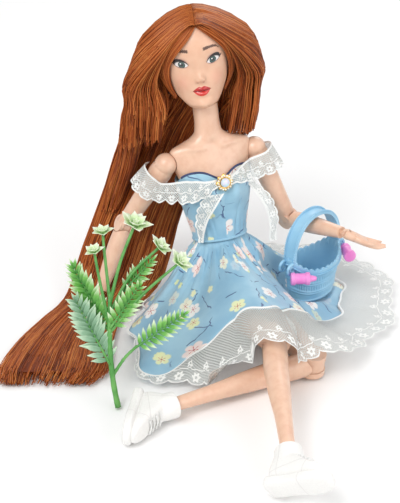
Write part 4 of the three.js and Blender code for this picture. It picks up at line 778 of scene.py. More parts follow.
def finger(here, spots, radii):
    steps = 16
    path, along = curve_through(spots, steps), np.linspace(0, 1, steps)
    width = (profile(np.stack([np.linspace(0, 1, len(radii)), radii], 1), along)
             * np.sqrt(1 - along**12 * 0.75))
    turn = full_turn(16)
    rings = [here.at(x + r * np.cos(turn), y + r * np.sin(turn), z) for (x, y, z), r in zip(path, width)]
    return skin("finger", rings)


for key, sign in SIDES.items():
    bone = bones[key]
    here = Frame(bone["wrist"], -bone["hand"], bone["wrist_axis"])
    parts = [limb("palm", here, PALM, 40, 40)]
    for x, out in FINGERS:
        spots = [[x, 0, -8.5], [x * 1.08, 0.25, -10 - out * 0.25], [x * 1.12, 0.6, -10 - out * 0.55],
                 [x * 1.15, 1.15, -10.2 - out * 0.82], [x * 1.16, 1.9, -10.4 - out]]
        parts.append(finger(here, spots, FINGER_RADII))
    thumb = [[sign * 2.2, 0.6, -3.6], [sign * 4.1, 1.1, -6.4], [sign * 5.2, 1.6, -9], [sign * 5.4, 2.4, -13]]
    parts.append(finger(here, thumb, THUMB_RADII))
    hand = melted(joined(f"{key}_hand_skin", parts, SKIN), 0.2, 4)
    bend = Frame(bone["wrist"], bone["fore"], bone["wrist_axis"])
    axis = bone["wrist_axis"]
    tongue = rod(bone["wrist"] - axis * 1.2, bone["wrist"] + axis * 1.2, 2.6, 32)
    carve(hand, [fan(bend, -75, 75, 7, 1.5), tongue, ball(bone["wrist"] - bone["fore"] * 5.2, 4.6, 32)])
    seat(hand, f"{key}_hand", "skin", f"{key}_hand")

# %% [markdown]
# ## Printed satin
# The dress is a light blue satin with loose, open blossoms. Cells on the cloth's own millimetres give every
# blossom a place, a turn and a colour, five lobes come from the angle round its centre, and a second, sparse
# set of cell edges becomes thin branches. The layout is our own and only keeps the colours and the scale.


# %% Satin finish
def blossoms(finish, u, v, pitch, shift, size, share):
    """Masks of a bed of five-lobed blossoms: bloom, eye, stamens and a chance for the tone."""
    at = finish.vector(u + shift, v + shift * 0.6)
    links = {"Vector": at, "Scale": 1.0 / pitch, "Randomness": 0.75}
    place, chance = (finish.node("ShaderNodeTexVoronoi", {"voronoi_dimensions": "2D"}, links, out)
                     for out in ("Position", "Color"))
    off = finish.node("ShaderNodeVectorMath", {"operation": "SUBTRACT"}, {0: at, 1: place})
    x, y, _ = finish.parts(off)
    one, two, three = finish.parts(chance)
    angle = y.math("ARCTAN2", x) + one * 6.283
    away = (x * x + y * y) ** 0.5 / (two * size * 0.35 + size * 0.75)
    lobes = abs((angle * 2.5).cos()) ** 0.5 * 0.42 + (angle + one * 9.0).cos() * 0.13 + 0.5
    shown = three.step(1.0 - share - 0.02, 1.0 - share + 0.02)
    bloom = (away / lobes).step(1.06, 0.86) * shown
    eye = away.step(0.12, 0.07) * shown
    rays = (angle * 6.0).cos().step(0.72, 0.92) * away.step(0.44, 0.36) * shown
    return bloom, eye, rays, two, lobes


def satin_finish():
    finish = Finish("printed_satin")
    u, v = finish.uv()
    flat = finish.vector(u, v)
    # The blue ground is mottled between a deeper and a lighter blue by broad noise: a painted satin sheen.
    colour = finish.mix(finish.noise(flat, 0.05, 3.0).step(0.3, 0.7), tint(134, 179, 205),
                        tint(162, 202, 221))
    edges = finish.node("ShaderNodeTexVoronoi", {"voronoi_dimensions": "2D", "feature": "DISTANCE_TO_EDGE"},
                        {"Vector": finish.vector(u + finish.noise(flat, 0.16, 2.0) * 6.0, v), "Scale": 0.055})
    twigs = edges.step(0.022, 0.012) * finish.noise(flat, 0.085, 1.0).step(0.5, 0.56)
    colour = finish.mix(twigs * 0.85, colour, tint(44, 62, 118))
    for pitch, shift, size, share, petal, blush in (
            (13.0, 31.0, 2.4, 0.3, tint(222, 230, 168), tint(236, 232, 196)),
            (18.0, 0.0, 6.0, 0.6, tint(243, 241, 237), tint(240, 212, 204)),
            (19.0, 57.0, 4.9, 0.42, tint(228, 232, 180), tint(244, 240, 232))):
        bloom, eye, rays, chance, lobes = blossoms(finish, u, v, pitch, shift, size, share)
        tone = finish.mix(chance.step(0.45, 0.55) * 0.6 + lobes.step(0.8, 0.66) * 0.35, petal, blush)
        colour = finish.mix(bloom * 0.95, colour, tone)
        if size > 3:
            colour = finish.mix(rays * 0.85, colour, tint(192, 44, 52))
            colour = finish.mix(eye * 0.8, colour, tint(170, 40, 52))
    weave = (u * 18.0).sin() * (v * 18.0).sin()
    creases = finish.noise(flat, 0.35, 3.0)
    return finish.coat(Base_Color=colour, Roughness=creases * 0.16 + 0.38, Sheen_Weight=0.25,
                       Sheen_Roughness=0.4, Normal=finish.bump(weave * 0.25 + creases * 1.6, 0.22, 0.0003))


SATIN = satin_finish()


def plain_finish(name, shade, other, rough, bump=0.1, scale=1400.0, **more):
    """A finish of two near tones with a fine grain."""
    finish = Finish(name)
    spot = finish.spot()
    grain = finish.noise(spot, scale, 3.0)
    tone = finish.mix(finish.noise(spot, scale * 0.12, 3.0).step(0.3, 0.7), shade, other)
    return finish.coat(Base_Color=tone, Roughness=grain * 0.12 + rough, Normal=finish.bump(grain, bump),
                       **more)


PIPING = plain_finish("navy_piping", tint(44, 54, 92), tint(60, 72, 112), 0.5)


# %% Helpers for cloth
SMALLEST_CUT = 10.0


def lengths(points):
    """The running length along the columns of each row."""
    steps = np.linalg.norm(np.diff(points, axis=1), axis=2)
    return np.concatenate([np.zeros((len(points), 1)), np.cumsum(steps, axis=1)], axis=1)


def drops(points):
    """The running length down the rows of each column."""
    return lengths(np.swapaxes(points, 0, 1)).T


def closed_rows(values):
    return np.concatenate([values, values[:, :1]], 1)


def facing(thing, centre):
    """Turns the faces of an open sheet away from a centre in millimetres."""
    mesh = thing.data
    middles, normals = np.zeros((2, len(mesh.polygons) * 3))
    mesh.polygons.foreach_get("center", middles)
    mesh.polygons.foreach_get("normal", normals)
    away = middles.reshape(-1, 3) - np.asarray(centre) * MM
    if (away * normals.reshape(-1, 3)).sum() < 0:
        mesh.flip_normals()
    return thing


def sheet_of(thing, points, wrap):
    """Measures a grid of points as cloth: its longest row and column are the cut (the mean column
    where the width varies much), and its area is measured; all three are printed."""
    closed = closed_rows(points) if wrap else points
    wide, columns = lengths(closed)[:, -1].max(), drops(closed)[-1]
    one, two = np.diff(closed, axis=1)[:-1], np.diff(closed, axis=0)[:, :-1]
    area = np.linalg.norm(np.cross(one, two), axis=2).sum()
    long = columns.max() if area > 0.35 * wide * columns.max() else columns.mean()
    wide, long = max(wide, SMALLEST_CUT), max(long, SMALLEST_CUT)
    area = min(area, wide * long)
    wide * MM
    long * MM
    print(thing.name, "cut", round(wide), "x", round(long), "mm, area", round(area), "mm2")


def thicken(thing, thickness):
    body = thing.modifiers.new("thickness", "SOLIDIFY")
    body.thickness, body.offset, body.use_even_offset = thickness * MM, -1.0, False
    return settle(thing)


def tube(name, path, radius, material, sides=10, closed=False):
    """A round cord along a path in millimetres."""
    path = np.asarray(path, float)
    ahead = np.roll(path, -1, 0) if closed else np.concatenate([path[1:], path[-1:]])
    behind = np.roll(path, 1, 0) if closed else np.concatenate([path[:1], path[:-1]])
    run = unit(ahead - behind)
    side = unit(np.cross(run, (0.21, 0.13, 0.97)))
    up = np.cross(side, run)
    turn = full_turn(sides)
    radius = np.broadcast_to(radius, len(path))
    rings = path[:, None] + radius[:, None, None] * (np.cos(turn)[None, :, None] * side[:, None]
                                                     + np.sin(turn)[None, :, None] * up[:, None])
    if closed:
        return rework(skin(name, np.concatenate([rings, rings[:1]]), material, caps=False), weld)
    return skin(name, rings, material)


# %% [markdown]
# ## Bodice
# The fitted bodice follows the torso two millimetres off the skin, with a sweetheart neckline, princess
# seams over the bust and a navy piping along its upper edge.

# %% Bodice
BODICE_OFF, CLOTH, CLOTH_GAP = 2.1, 0.9, 0.4
# Millimetres of cloth for the print. The shift keeps the bodice's blossoms apart from the skirt's
BODICE_ROUND, BODICE_TALL, SKIRT_ROUND, PRINT_SHIFT = 14.5, 36, 330, 400


def bodice_top(turn):
    away = np.minimum(np.abs(turn), 2 * math.pi - np.abs(turn))
    back = np.where(away > math.pi / 2, 4 * np.sin(away - math.pi / 2), 0)
    return 61 - 4.5 * hump(away, 0.3) - 5 * hump(away - math.pi / 2, 0.55) - back


turn = full_turn(200)
share = np.linspace(0, 1, 56)[:, None]
rise = lerp(WAIST_RISE, bodice_top(turn)[None], share)
away = np.minimum(turn, 2 * math.pi - turn)[None]
seam = 0.34 * hump(away - lerp(0.34, 0.62, share), 0.035) + 0.34 * hump(away - 1.5, 0.03)
gather = 0.16 * np.sin(turn[None] * 26 + 4 * share) * hump(share - 0.08, 0.16)
bodice_points = torso_point(turn[None], rise, BODICE_OFF - seam + gather)
reach = np.append(turn, 2 * math.pi) * BODICE_ROUND
uv = pairs(reach[None] + PRINT_SHIFT, BODICE_TALL * share)
bodice = facing(skin("satin_bodice", bodice_points, SATIN, caps=False, uv=uv), TORSO.at(0, 0, 40))
thicken(bodice, 0.8)
arm_room = SHOULDER_BALL + 0.4
carve(bodice, [ball(bone["shoulder"], arm_room) for bone in bones.values()]
      + [rod(bone["shoulder"], bone["shoulder"] + bone["upper"] * 19, arm_room) for bone in bones.values()])
seat(bodice, "torso", "dress", "bodice")
sheet_of(bodice, bodice_points, True)
near = np.minimum(turn, 2 * math.pi - turn) < 1.12
front = np.roll(turn, len(turn) // 2)[np.roll(near, len(turn) // 2)]
neckline = torso_point(front, bodice_top(front), BODICE_OFF - 0.3)
seat(tube("neckline_piping", neckline, 0.55, PIPING, 10), "torso", "dress")
waist = torso_point(turn, np.full(len(turn), WAIST_RISE), BODICE_OFF - 0.1)
seat(tube("waist_piping", waist, 0.6, SATIN, 10, True), "torso", "dress")

# %% [markdown]
# ## Skirt
# The skirt is one gathered length of satin. It falls from the waist in pleats, lies over both legs, is
# pressed down by the carrier and rests on the floor. Its height at a spot is the higher of its own fall and
# the legs under it, with a soft change between the two, so that the legs read through the cloth.

# %% Skirt
HEM = [[-60, 50, 0.7], [-40, 62, 0.7], [-26, 74, 1], [-14, 62, 12], [2, 56, 26], [16, 58, 31], [38, 52, 22],
       [56, 50, 9], [75, 54, 1], [100, 58, 0.7], [130, 56, 0.7], [160, 44, 0.7], [195, 33, 0.7],
       [235, 29, 0.7], [270, 36, 0.7], [300, 50, 0.7]]
LACE_REACH = [[-60, 0.12], [-30, 0.4], [-12, 1], [2, 1.6], [20, 2], [45, 2.3], [70, 2.1], [110, 2],
              [150, 1.4], [200, 0.5], [240, 0.12], [300, 0.12]]
LACE_WIDTH, LEG_EASE, SKIRT_COLS, SKIRT_ROWS = 13, 2.5, 400, 62
LACE_LOW = [[-60, 2.3], [-12, 2.3], [0, 9], [12, 17], [30, 17], [45, 12], [62, 5], [80, 2.3], [110, 2.3],
            [300, 2.3]]
CARRIER_AT = bones["left"]["elbow"] + bones["left"]["fore"] * 16.29
CARRIER = Frame(CARRIER_AT, (0, 0, 1), np.cross((0, 0, 1), bones["left"]["fore"]))
CARRIER_BASE, CARRIER_LONG, CARRIER_WIDE, CARRIER_TALL = 4.2, 33.0, 21.0, 19.5
LEG_RUNS = [run for bone in bones.values() for run in (
    (bone["hip"], bone["thigh"] * THIGH_LENGTH, HIP_BALL, KNEE_RADIUS * 1.3),
    (bone["knee"], bone["shin"] * SHIN_LENGTH, KNEE_RADIUS * 1.3, ANKLE_RADIUS + 1))]


def round_profile(rows, column, angle):
    start = rows[0][0]
    return profile([[row[0], row[column]] for row in rows], start + (angle - start) % 360)


def leg_height(x, y):
    """How high cloth has to lie over the legs, each taken as a row of balls."""
    top = np.zeros(np.broadcast(x, y).shape)
    for start, run, first, last in LEG_RUNS:
        for part in np.linspace(0, 1, 49):
            spot, radius = start + run * part, lerp(first, last, part) + LEG_EASE
            left = radius**2 - (x - spot[0]) ** 2 - (y - spot[1]) ** 2
            top = np.maximum(top, spot[2] + np.where(left > 0, np.sqrt(np.maximum(left, 0)), -99))
    return top


def carrier_press(x, y):
    spot = np.stack([x - CARRIER_AT[0], y - CARRIER_AT[1], 0 * x], -1)
    away = np.hypot(spot @ CARRIER.x / (CARRIER_LONG * 0.37), spot @ CARRIER.y / (CARRIER_WIDE * 0.37)) - 1
    away = np.maximum(away, 0) * CARRIER_WIDE * 0.45
    return CARRIER_BASE - 2 * CLOTH_GAP + 0.36 * away + 0.03 * away**2 + 0.004 * away**3


def smooth_max(a, b, width):
    near = np.maximum(width - np.abs(a - b), 0) / width
    return np.maximum(a, b) + near * near * width / 4


def skirt_spot(turn, share):
    waist = torso_point(turn, 25.6, 1.3)
    angle = np.degrees(turn) + BODY_TURN
    pleat = np.tanh(2.2 * np.sin(turn * 22 + 0.5 * np.sin(turn * 3))) * 1.05
    pleat = pleat * smooth(0, 0.1, share) * (1 - smooth(0.2, 0.62, share))
    sway = np.cos(turn * 13 + 0.5 * np.sin(turn * 2 + 1))
    fold = (sway + 0.25 * np.cos(turn * 29 + 2)) * 1.5 * share * (1.2 - 0.2 * share)
    out = heading(angle, 0)
    hem = out * (round_profile(HEM, 1, angle) + 1.4 * fold)[..., None]
    flat = lerp(waist, hem, share[..., None]) + out * (pleat + 0.9 * smooth(0, 0.16, share))[..., None]
    x, y = flat[..., 0], flat[..., 1]
    lap = 0.8 - 0.26 * smooth(75, 30, np.abs((angle - 15 + 180) % 360 - 180))
    fall = lerp(waist[..., 2], round_profile(HEM, 2, angle) + CLOTH, share**lap)
    fall = fall + 0.5 * fold * (1 - share) + 0.3 * pleat
    over = leg_height(x, y) + 1.3 + 0.22 * (sway + 1) * smooth(0.3, 0.7, share)
    tent = np.maximum(np.minimum(smooth_max(fall, over, 5), carrier_press(x, y)), over)
    z = np.maximum(np.where(share > 0, tent, waist[..., 2]), 1.4)
    return np.stack([x, y, z], -1)


turn = full_turn(SKIRT_COLS)
share = np.linspace(0, 1, SKIRT_ROWS)
skirt_points = skirt_spot(*np.broadcast_arrays(turn[None], share[:, None]))
around = np.append(turn, 2 * math.pi) / (2 * math.pi) * SKIRT_ROUND
uv = pairs(around[None], closed_rows(drops(skirt_points)))
skirt = facing(skin("satin_skirt", skirt_points, SATIN, caps=False, uv=uv), TORSO.at(0, 0, 4))
thicken(skirt, 0.4)
LEG_BLEND = (12, -9, 13), (-2, -55, 13)
stretch(skirt, "right_hip", "dress", *LEG_BLEND, "skirt")
sheet_of(skirt, skirt_points, True)

# %% [markdown]
# ## Lace
# The lace is a cotton net with a corded, scalloped edge and a row of small discs. The scallops are in the
# mesh, and the net and the discs are cut out by the finish's alpha, measured on the strip's own millimetres.


# %% Lace finish
def lace_finish(name, pitch, open_net):
    finish = Finish(name)
    u, v = finish.uv()
    edge = finish.attribute("edge")
    across = u.wrap(-pitch / 2, pitch / 2)
    mesh_one, mesh_two = (abs(((u * s + v) * 2.5).sin()) for s in (1.0, -1.0))
    net = mesh_one.least(mesh_two).step(open_net + 0.14, open_net - 0.14)

    def disc(x, y, size, lobes):
        away = (x * x + y * y) ** 0.5
        angle = y.math("ARCTAN2", x)
        rim = (angle * lobes).cos() * 0.18 * size + 0.82 * size
        return (away - rim).step(0.12, -0.12) * (1 - away.step(size * 0.3, size * 0.18))

    big = disc(across, edge - pitch * 0.46, pitch * 0.29, 6.0)
    small = disc((u + pitch / 2).wrap(-pitch / 2, pitch / 2), edge - pitch * 0.95, pitch * 0.19, 5.0)
    cord = edge.step(1.0, 0.75)
    second = abs(edge - pitch * 0.8 - (u * 6.283 / pitch).cos() * 0.7).step(0.34, 0.2)
    band = v.step(1.3, 1.0)
    solid = cord.most(big).most(small).most(second).most(band)
    threads = ((u + v) * 14.0).sin() * 0.5 + 0.5
    colour = finish.mix(solid * 0.8 + threads * 0.2, tint(214, 218, 215), tint(247, 247, 244))
    return finish.coat(Base_Color=colour, Roughness=0.85, Sheen_Weight=0.2,
                       Alpha=solid.most(net * 0.92).most(0.26),
                       Normal=finish.bump(solid * 2.0 + threads * 0.5, 0.5, 0.0003))


HEM_PITCH, FRILL_PITCH = 9.0, 6.4
HEM_LACE = lace_finish("hem_lace_net", HEM_PITCH, 0.5)
FRILL_LACE = lace_finish("frill_lace_net", FRILL_PITCH, 0.68)


def lace_strip(name, spot, count, rows, width, pitch, deep, material, wrap):
    """A strip whose far edge runs in scallops. The spot function takes a share along and a share across."""
    along = np.linspace(0, 1, count, endpoint=not wrap)
    middle = spot(*np.broadcast_arrays(along[None], np.full((1, 1), 0.6)))
    reach = lengths(closed_rows(middle) if wrap else middle)[0]
    reach = reach / reach[-1] * pitch * max(round(reach[-1] / pitch), 1)
    arch = np.abs(np.cos(math.pi * reach[:count] / pitch)) ** 0.6
    limit = 1 - np.minimum(deep / width(along), 0.5) * (1 - arch)
    share = np.linspace(0, 1, rows)[:, None] * limit[None]
    points = spot(*np.broadcast_arrays(along[None], share))
    v = drops(points)
    edge = v[-1:] - v
    uv = pairs(reach[None], closed_rows(v) if wrap else v)
    thing = skin(name, points, material, wrap=wrap, caps=False, uv=uv)
    label(thing.data, "edge", edge.ravel())
    return thing, points


# %% [markdown]
# ## Lace hem
# The gathered hem band is sewn under the skirt's edge, hangs over the legs and spreads on the floor at the
# side of the carrier.


# %% Lace hem
def hem_width(along):
    return LACE_WIDTH * round_profile(LACE_REACH, 1, along * 360 + BODY_TURN)


def hem_spot(along, share):
    turn = along * 2 * math.pi
    angle = np.degrees(turn) + BODY_TURN
    edge = skirt_spot(turn, np.ones(turn.shape))
    spot = edge + heading(angle, 0) * (hem_width(along) * share)[..., None]
    fold = (np.cos(turn * 15) + 0.5 * np.cos(turn * 37 + 1)) * 0.9 * share
    x, y = spot[..., 0], spot[..., 1]
    over = leg_height(x, y) + 2.0
    fall = lerp(edge[..., 2] - 0.45, round_profile(LACE_LOW, 1, angle), np.minimum(share * 1.1, 1)) + fold
    z = np.maximum(np.minimum(smooth_max(fall, over, 7), carrier_press(x, y) - 0.45), 1.0)
    return np.stack([x, y, z], -1)


hem, hem_points = lace_strip("hem_lace_band", hem_spot, 900, 26, hem_width, HEM_PITCH, 2.2, HEM_LACE, True)
facing(hem, TORSO.at(0, 0, -60))
stretch(hem, "right_hip", "lace", *LEG_BLEND, "hem_lace")
sheet_of(hem, hem_points, True)

# %% [markdown]
# ## Shoulder frills and tails
# A lace frill runs from the brooch over each bust and round the upper arm, and a tail of the same lace hangs
# below it. The frills ripple more towards their free edge.

# %% Frills and tails
BROOCH_RISE, LACE_OFF = 55.5, 3.7
FRILL_FRONT = [[0.16, 0, 1.8], [0.32, 0.5, 3], [0.48, 1, 4.2], [0.64, 1.2, 5], [0.8, 1.4, 5.4],
               [0.94, 1.4, 5.6]]
FRILL_ROUND = [[-78, 1.6, 6], [-50, 1.8, 6.4], [-20, 1.8, 6.4], [10, 1.8, 6.4], [40, 1.8, 6], [70, 1.6, 5.4]]
TAILS = {"right": [[-0.3, 51, 4.6], [-0.5, 45, 4.6], [-0.7, 38, 3.6], [-0.86, 31, 2.2], [-0.92, 26, 1.2]],
         "left": [[16, -6, 51, 2.4], [21, -8, 44, 3], [24, -9, 37, 3.2], [24.4, -10, 29, 2.8],
                  [22, -12, 21, 2]]}


def ribbon_spot(starts, ends, faces, ripples, depth):
    """A spot on a strip between two edge curves, with ripples that grow across it."""
    def spot(along, share):
        count = along.shape[1]
        first, last, out = (curve_through(edge, count) for edge in (starts, ends, faces))
        lift = (0.5 + 0.5 * np.sin(along * 2 * math.pi * ripples + 1.5 * share)) * depth * share + 0.25
        return lerp(first[None], last[None], share[..., None]) + unit(out)[None] * lift[..., None]
    return spot


for key, sign in SIDES.items():
    bone = bones[key]
    arm = bone["shoulder"] + bone["upper"] * (9 if sign > 0 else 12.5)
    starts, ends, faces = [], [], []
    for turn_at, rise_at, half in FRILL_FRONT:
        spot = torso_point(sign * turn_at, BROOCH_RISE + rise_at * (1 if sign > 0 else -2.3), LACE_OFF)
        starts.append(spot + TORSO.z * half)
        ends.append(spot - TORSO.z * half)
        faces.append(unit(spot - TORSO.at(0, 0, BROOCH_RISE)))
    flat = unit(TORSO.x * sign - bone["upper"] * np.dot(TORSO.x * sign, bone["upper"]))
    for turn_at, off, half in FRILL_ROUND:
        swing = -sign * rad(turn_at)
        out = flat * math.cos(swing) + np.cross(bone["upper"], flat) * math.sin(swing)
        spot = arm + out * (SHOULDER_BALL + off)
        starts.append(spot - bone["upper"] * half)
        ends.append(spot + bone["upper"] * half)
        faces.append(out)
    spot = ribbon_spot(starts, ends, faces, 11, 1.5)
    frill, frill_points = lace_strip(f"{key}_lace_frill", spot, 260, 18, lambda along: 11.0, FRILL_PITCH, 1.6,
                                     FRILL_LACE, False)
    facing(frill, arm)
    inner = bone["shoulder"] - TORSO.x * sign * 8
    stretch(frill, f"{key}_shoulder", "lace", inner, bone["shoulder"], f"{key}_frill")
    sheet_of(frill, frill_points, False)
    starts, ends, faces = [], [], []
    for *place, half in TAILS[key]:
        spot = torso_point(*place, LACE_OFF) if key == "right" else TORSO.at(*place)
        out = unit(spot - TORSO.at(0, 0 if key == "right" else 60, place[-1]))
        wide = unit(np.cross(out, TORSO.z)) * half
        starts.append(spot + wide * sign)
        ends.append(spot - wide * sign)
        faces.append(out)
    spot = ribbon_spot(starts, ends, faces, 3, 0.9)
    tail, tail_points = lace_strip(f"{key}_tail_lace", spot, 110, 14, lambda along: 6.5, FRILL_PITCH * 0.7,
                                   1.0, FRILL_LACE, False)
    facing(tail, TORSO.at(0, 0, 40))
    seat(tail, "torso", "lace", f"{key}_lace_tail")
    sheet_of(tail, tail_points, False)

# %% [markdown]
# ## Brooch
# A gilt ring of petals carries sixteen tiny clear stones round one domed stone with a soft blue and pink
# play.

# %% Brooch
GILT = plain_finish("gilt_metal", tint(214, 170, 92), tint(240, 206, 130), 0.2, 0.05, Metallic=0.9)
CLEAR = plain_finish("clear_stones", tint(236, 226, 206), tint(250, 246, 236), 0.06, 0.02, Coat_Weight=0.6)
BROOCH = Frame(torso_point(0.0, BROOCH_RISE, LACE_OFF + CLOTH + CLOTH_GAP), -TORSO.y, TORSO.x)
turn = full_turn(96)
petal = 4.4 * (0.9 + 0.1 * np.cos(turn * 8))
SETTING = ((0.8, -0.3), (0.9, 0), (0.98, 0.3), (1, 0.7), (0.97, 1.0), (0.78, 1.3), (0.56, 1.2), (0.5, 0.9),
           (0.2, 0.8))
DOME = (1.9, 0.8), (2.2, 1.0), (2.2, 1.8), (1.95, 2.35), (1.5, 2.7), (0.9, 2.9), (0.3, 2.97)
BEAD_RING = 3.35
seat(skin("gilt_setting", BROOCH.lathe(SETTING, turn, petal), GILT), "torso", "gilt", "brooch_setting")
beads = [ball(BROOCH.at(BEAD_RING * math.cos(a), BEAD_RING * math.sin(a), 1.35), 0.52, 14)
         for a in full_turn(16)]
seat(joined("clear_stone_ring", beads, CLEAR), "torso", "stone")


def opal_finish():
    finish = Finish("play_stone")
    spot = finish.spot()
    patch = finish.node("ShaderNodeTexVoronoi", None, {"Vector": spot, "Scale": 900.0}, "Color")
    red, green, _ = finish.parts(patch)
    colour = finish.mix(red, tint(186, 214, 240), tint(236, 204, 232))
    colour = finish.mix(green * 0.5, colour, tint(206, 240, 226))
    return finish.coat(Base_Color=colour, Roughness=red * 0.06 + 0.05, Coat_Weight=0.7)


seat(skin("domed_stone", BROOCH.lathe(DOME, turn), opal_finish()), "torso", "stone", "brooch_stone")

# %% [markdown]
# ## Hair
# The hair is straight copper nylon, parted in the middle, with a curtain of bangs on both sides of the face,
# swept-back sides and a long fall that turns forward on the floor. Under it lies a mass that closes the
# gaps, painted darker than the strands as painted shade inside the hair, with inner strands behind the face.
# Over it lie thousands of strands: the script lays out their paths, and one small node group turns every
# path into a thin three-sided tube, so that the same group serves bangs, sides, locks and fall.


# %% Hair finishes
def strand_finish():
    finish = Finish("hair_strands")
    tone = finish.attribute("tone")
    spot = finish.spot()
    drift = finish.noise(spot, 70.0, 2.0)
    shade = tone * 0.75 + drift * 0.5 - 0.12
    stops = [(0.0, tint(70, 27, 9)), (1.0, tint(214, 138, 74)), (0.3, tint(140, 64, 21)),
             (0.62, tint(178, 92, 36))]
    colour = finish.node("ShaderNodeValToRGB", {"stops": stops}, {0: shade})
    return finish.coat(Base_Color=colour, Roughness=drift * 0.12 + 0.4, Specular_IOR_Level=0.3)


def mass_finish():
    finish = Finish("hair_mass")
    u, v = finish.uv()
    streak = finish.noise(finish.vector(u * 1.6, v * 0.05), 1.0, 4.0, 0.7)
    fine = finish.noise(finish.vector(u * 6.0, v * 0.08), 1.0, 3.0, 0.6)
    # The mass is painted darker than the strands: painted shade for the inside of the hair.
    colour = finish.mix(streak.step(0.3, 0.7), tint(64, 23, 6), tint(136, 57, 14))
    colour = finish.mix(fine.step(0.5, 0.8) * 0.5, colour, tint(166, 80, 26))
    return finish.coat(Base_Color=colour, Roughness=fine * 0.2 + 0.45, Specular_IOR_Level=0.3,
                       Normal=finish.bump(streak + fine, 0.7, 0.0006))


STRANDS, MASS = strand_finish(), mass_finish()
STRAND_SIDES, STRAND_TAPER, HEAD_TAPER, FALL_TAPER = 3, 0.35, 0.15, 0.12


# %% Strands from paths
class Group:
    """A geometry node group. Its inputs and outputs are reached by node and socket name."""

    def __init__(self, name, **inputs):
        self.tree = bpy.data.node_groups.new(name, "GeometryNodeTree")
        self.tree.interface.new_socket("Geometry", in_out="OUTPUT", socket_type="NodeSocketGeometry")
        for word, kind in dict(Geometry="Geometry", **inputs).items():
            self.tree.interface.new_socket(word, in_out="INPUT", socket_type="NodeSocket" + kind)
        self.given = self.tree.nodes.new("NodeGroupInput").outputs
        self.end = self.tree.nodes.new("NodeGroupOutput")

    def node(self, kind, settings=None, **links):
        """A node whose named inputs take a socket or a plain value. Its first output is given back."""
        made = self.tree.nodes.new(kind)
        for key, value in (settings or {}).items():
            setattr(made, key, value)
        for key, value in links.items():
            socket = made.inputs[key.replace("_", " ")]
            if isinstance(value, bpy.types.NodeSocket):
                self.tree.links.new(value, socket)
            else:
                socket.default_value = value
        return made.outputs[0]

    def read(self, name, kind="FLOAT"):
        return self.node("GeometryNodeInputNamedAttribute", {"data_type": kind}, Name=name)

    def paint(self, shape):
        """Ends the group with the shape in its finish."""
        shape = self.node("GeometryNodeRealizeInstances", Geometry=shape)
        shape = self.node("GeometryNodeSetMaterial", Geometry=shape, Material=self.given["Finish"])
        self.tree.links.new(shape, self.end.inputs[0])
        return self

    def run(self, thing, **values):
        step = thing.modifiers.new("group", "NODES")
        step.node_group = self.tree
        for item in self.tree.interface.items_tree:
            if item.in_out == "INPUT" and item.name in values:
                step[item.identifier] = values[item.name]
        return settle(thing)


def tube_group():
    """Paths to tubes: mesh edges become curves, and a small ring is swept along them."""
    group = Group("strand_tubes", Thickness="Float", Finish="Material")
    curve = group.node("GeometryNodeMeshToCurve", Mesh=group.given["Geometry"])
    curve = group.node("GeometryNodeSetCurveRadius", Curve=curve, Radius=group.read("girth"))
    ring = group.node("GeometryNodeCurvePrimitiveCircle", Radius=group.given["Thickness"],
                      Resolution=STRAND_SIDES)
    return group.paint(group.node("GeometryNodeCurveToMesh", Curve=curve, Profile_Curve=ring))


TUBES = tube_group()


def strands(name, paths, thickness, taper=STRAND_TAPER):
    """One tube for each path. Paths are rows of points in millimetres, all of one length."""
    count, points = paths.shape[:2]
    first = np.arange(count)[:, None] * points + np.arange(points - 1)[None]
    edges = np.stack([first, first + 1], -1).reshape(-1, 2)
    mesh = raw_mesh(name, paths, edges.tolist())
    along = np.linspace(0, 1, points)
    girth = 1 - (1 - taper) * smooth(0.7, 1, along)
    label(mesh, "tone", np.repeat(rng.random(count), points))
    label(mesh, "girth", np.tile(girth, count))
    return shade_smooth(TUBES.run(link(name, mesh), Thickness=thickness * MM, Finish=STRANDS))


# %% Crown and bangs
# Rows give the rise, the distance from the head, and the swell of the swept-back sides, right and left
HAIR_FORM = np.array([
    [-10, 9.6, 17.6, 9.4], [-4, 7.2, 16.6, 11], [3, 6.4, 14.6, 11.4], [10, 6.2, 10.4, 9.2], [18, 6.4, 6, 6.6],
    [26, 5.6, 4.2, 5.4], [31, 5, 5, 5.6], [34.2, 4.6, 5, 5.6], [36.6, 2.4, 4, 4]])
HAIR_LOW, HAIR_TOP, PARTING = -10, 34.8, -0.12


def hair_point(turn, rise, share=1.0, inset=0.0):
    """A spot on the crown; share runs from close to the skull at 0 to the full hair at 1."""
    off, right, left = np.moveaxis(columns_at(HAIR_FORM[:, 0], HAIR_FORM[:, 1:], rise), -1, 0)
    out = np.sin(turn) ** 3
    swell = out * np.where(out < 0, right, left) * share
    spot = head_point(turn, np.minimum(rise, HAIR_TOP), lerp(1.0, off, share) - inset, face=False)
    return spot + HEAD.x * swell[..., None] + HEAD.z * np.maximum(rise - HAIR_TOP, 0)[..., None]


rise = np.linspace(HAIR_LOW, 36, 60)[:, None]
window = profile([[HAIR_LOW, 1.5], [6, 1.46], [16, 1.34], [24, 1.1], [28.5, 0.66], [31.5, 0.2], [33, 0.02],
                  [36, 0.01]], rise)
sweep_turn = lerp(window, 2 * math.pi - window, np.linspace(0, 1, 120)[None])
ripple = 0.35 * np.sin(sweep_turn * 60 + 0.05 * rise) + 0.3 * np.sin(sweep_turn * 23 + 0.1 * rise)
ragged = (3.2 + 2.4 * np.sin(sweep_turn * 17) + 1.6 * np.sin(sweep_turn * 41 + 1)) * smooth(2, -10, rise)
close = lerp(0.6, 0.96, smooth(24, -2, rise))
crown_points = hair_point(sweep_turn + PARTING * smooth(20, 32, rise), rise + ragged, close, 1.4 - ripple)
pole = crown_points[-1].mean(0)
lids = [lerp(crown_points[-1], pole, part) + HEAD.z * lift for part, lift in ((0.5, 0.3), (0.97, 0.4))]
crown_points = np.concatenate([crown_points, lids])
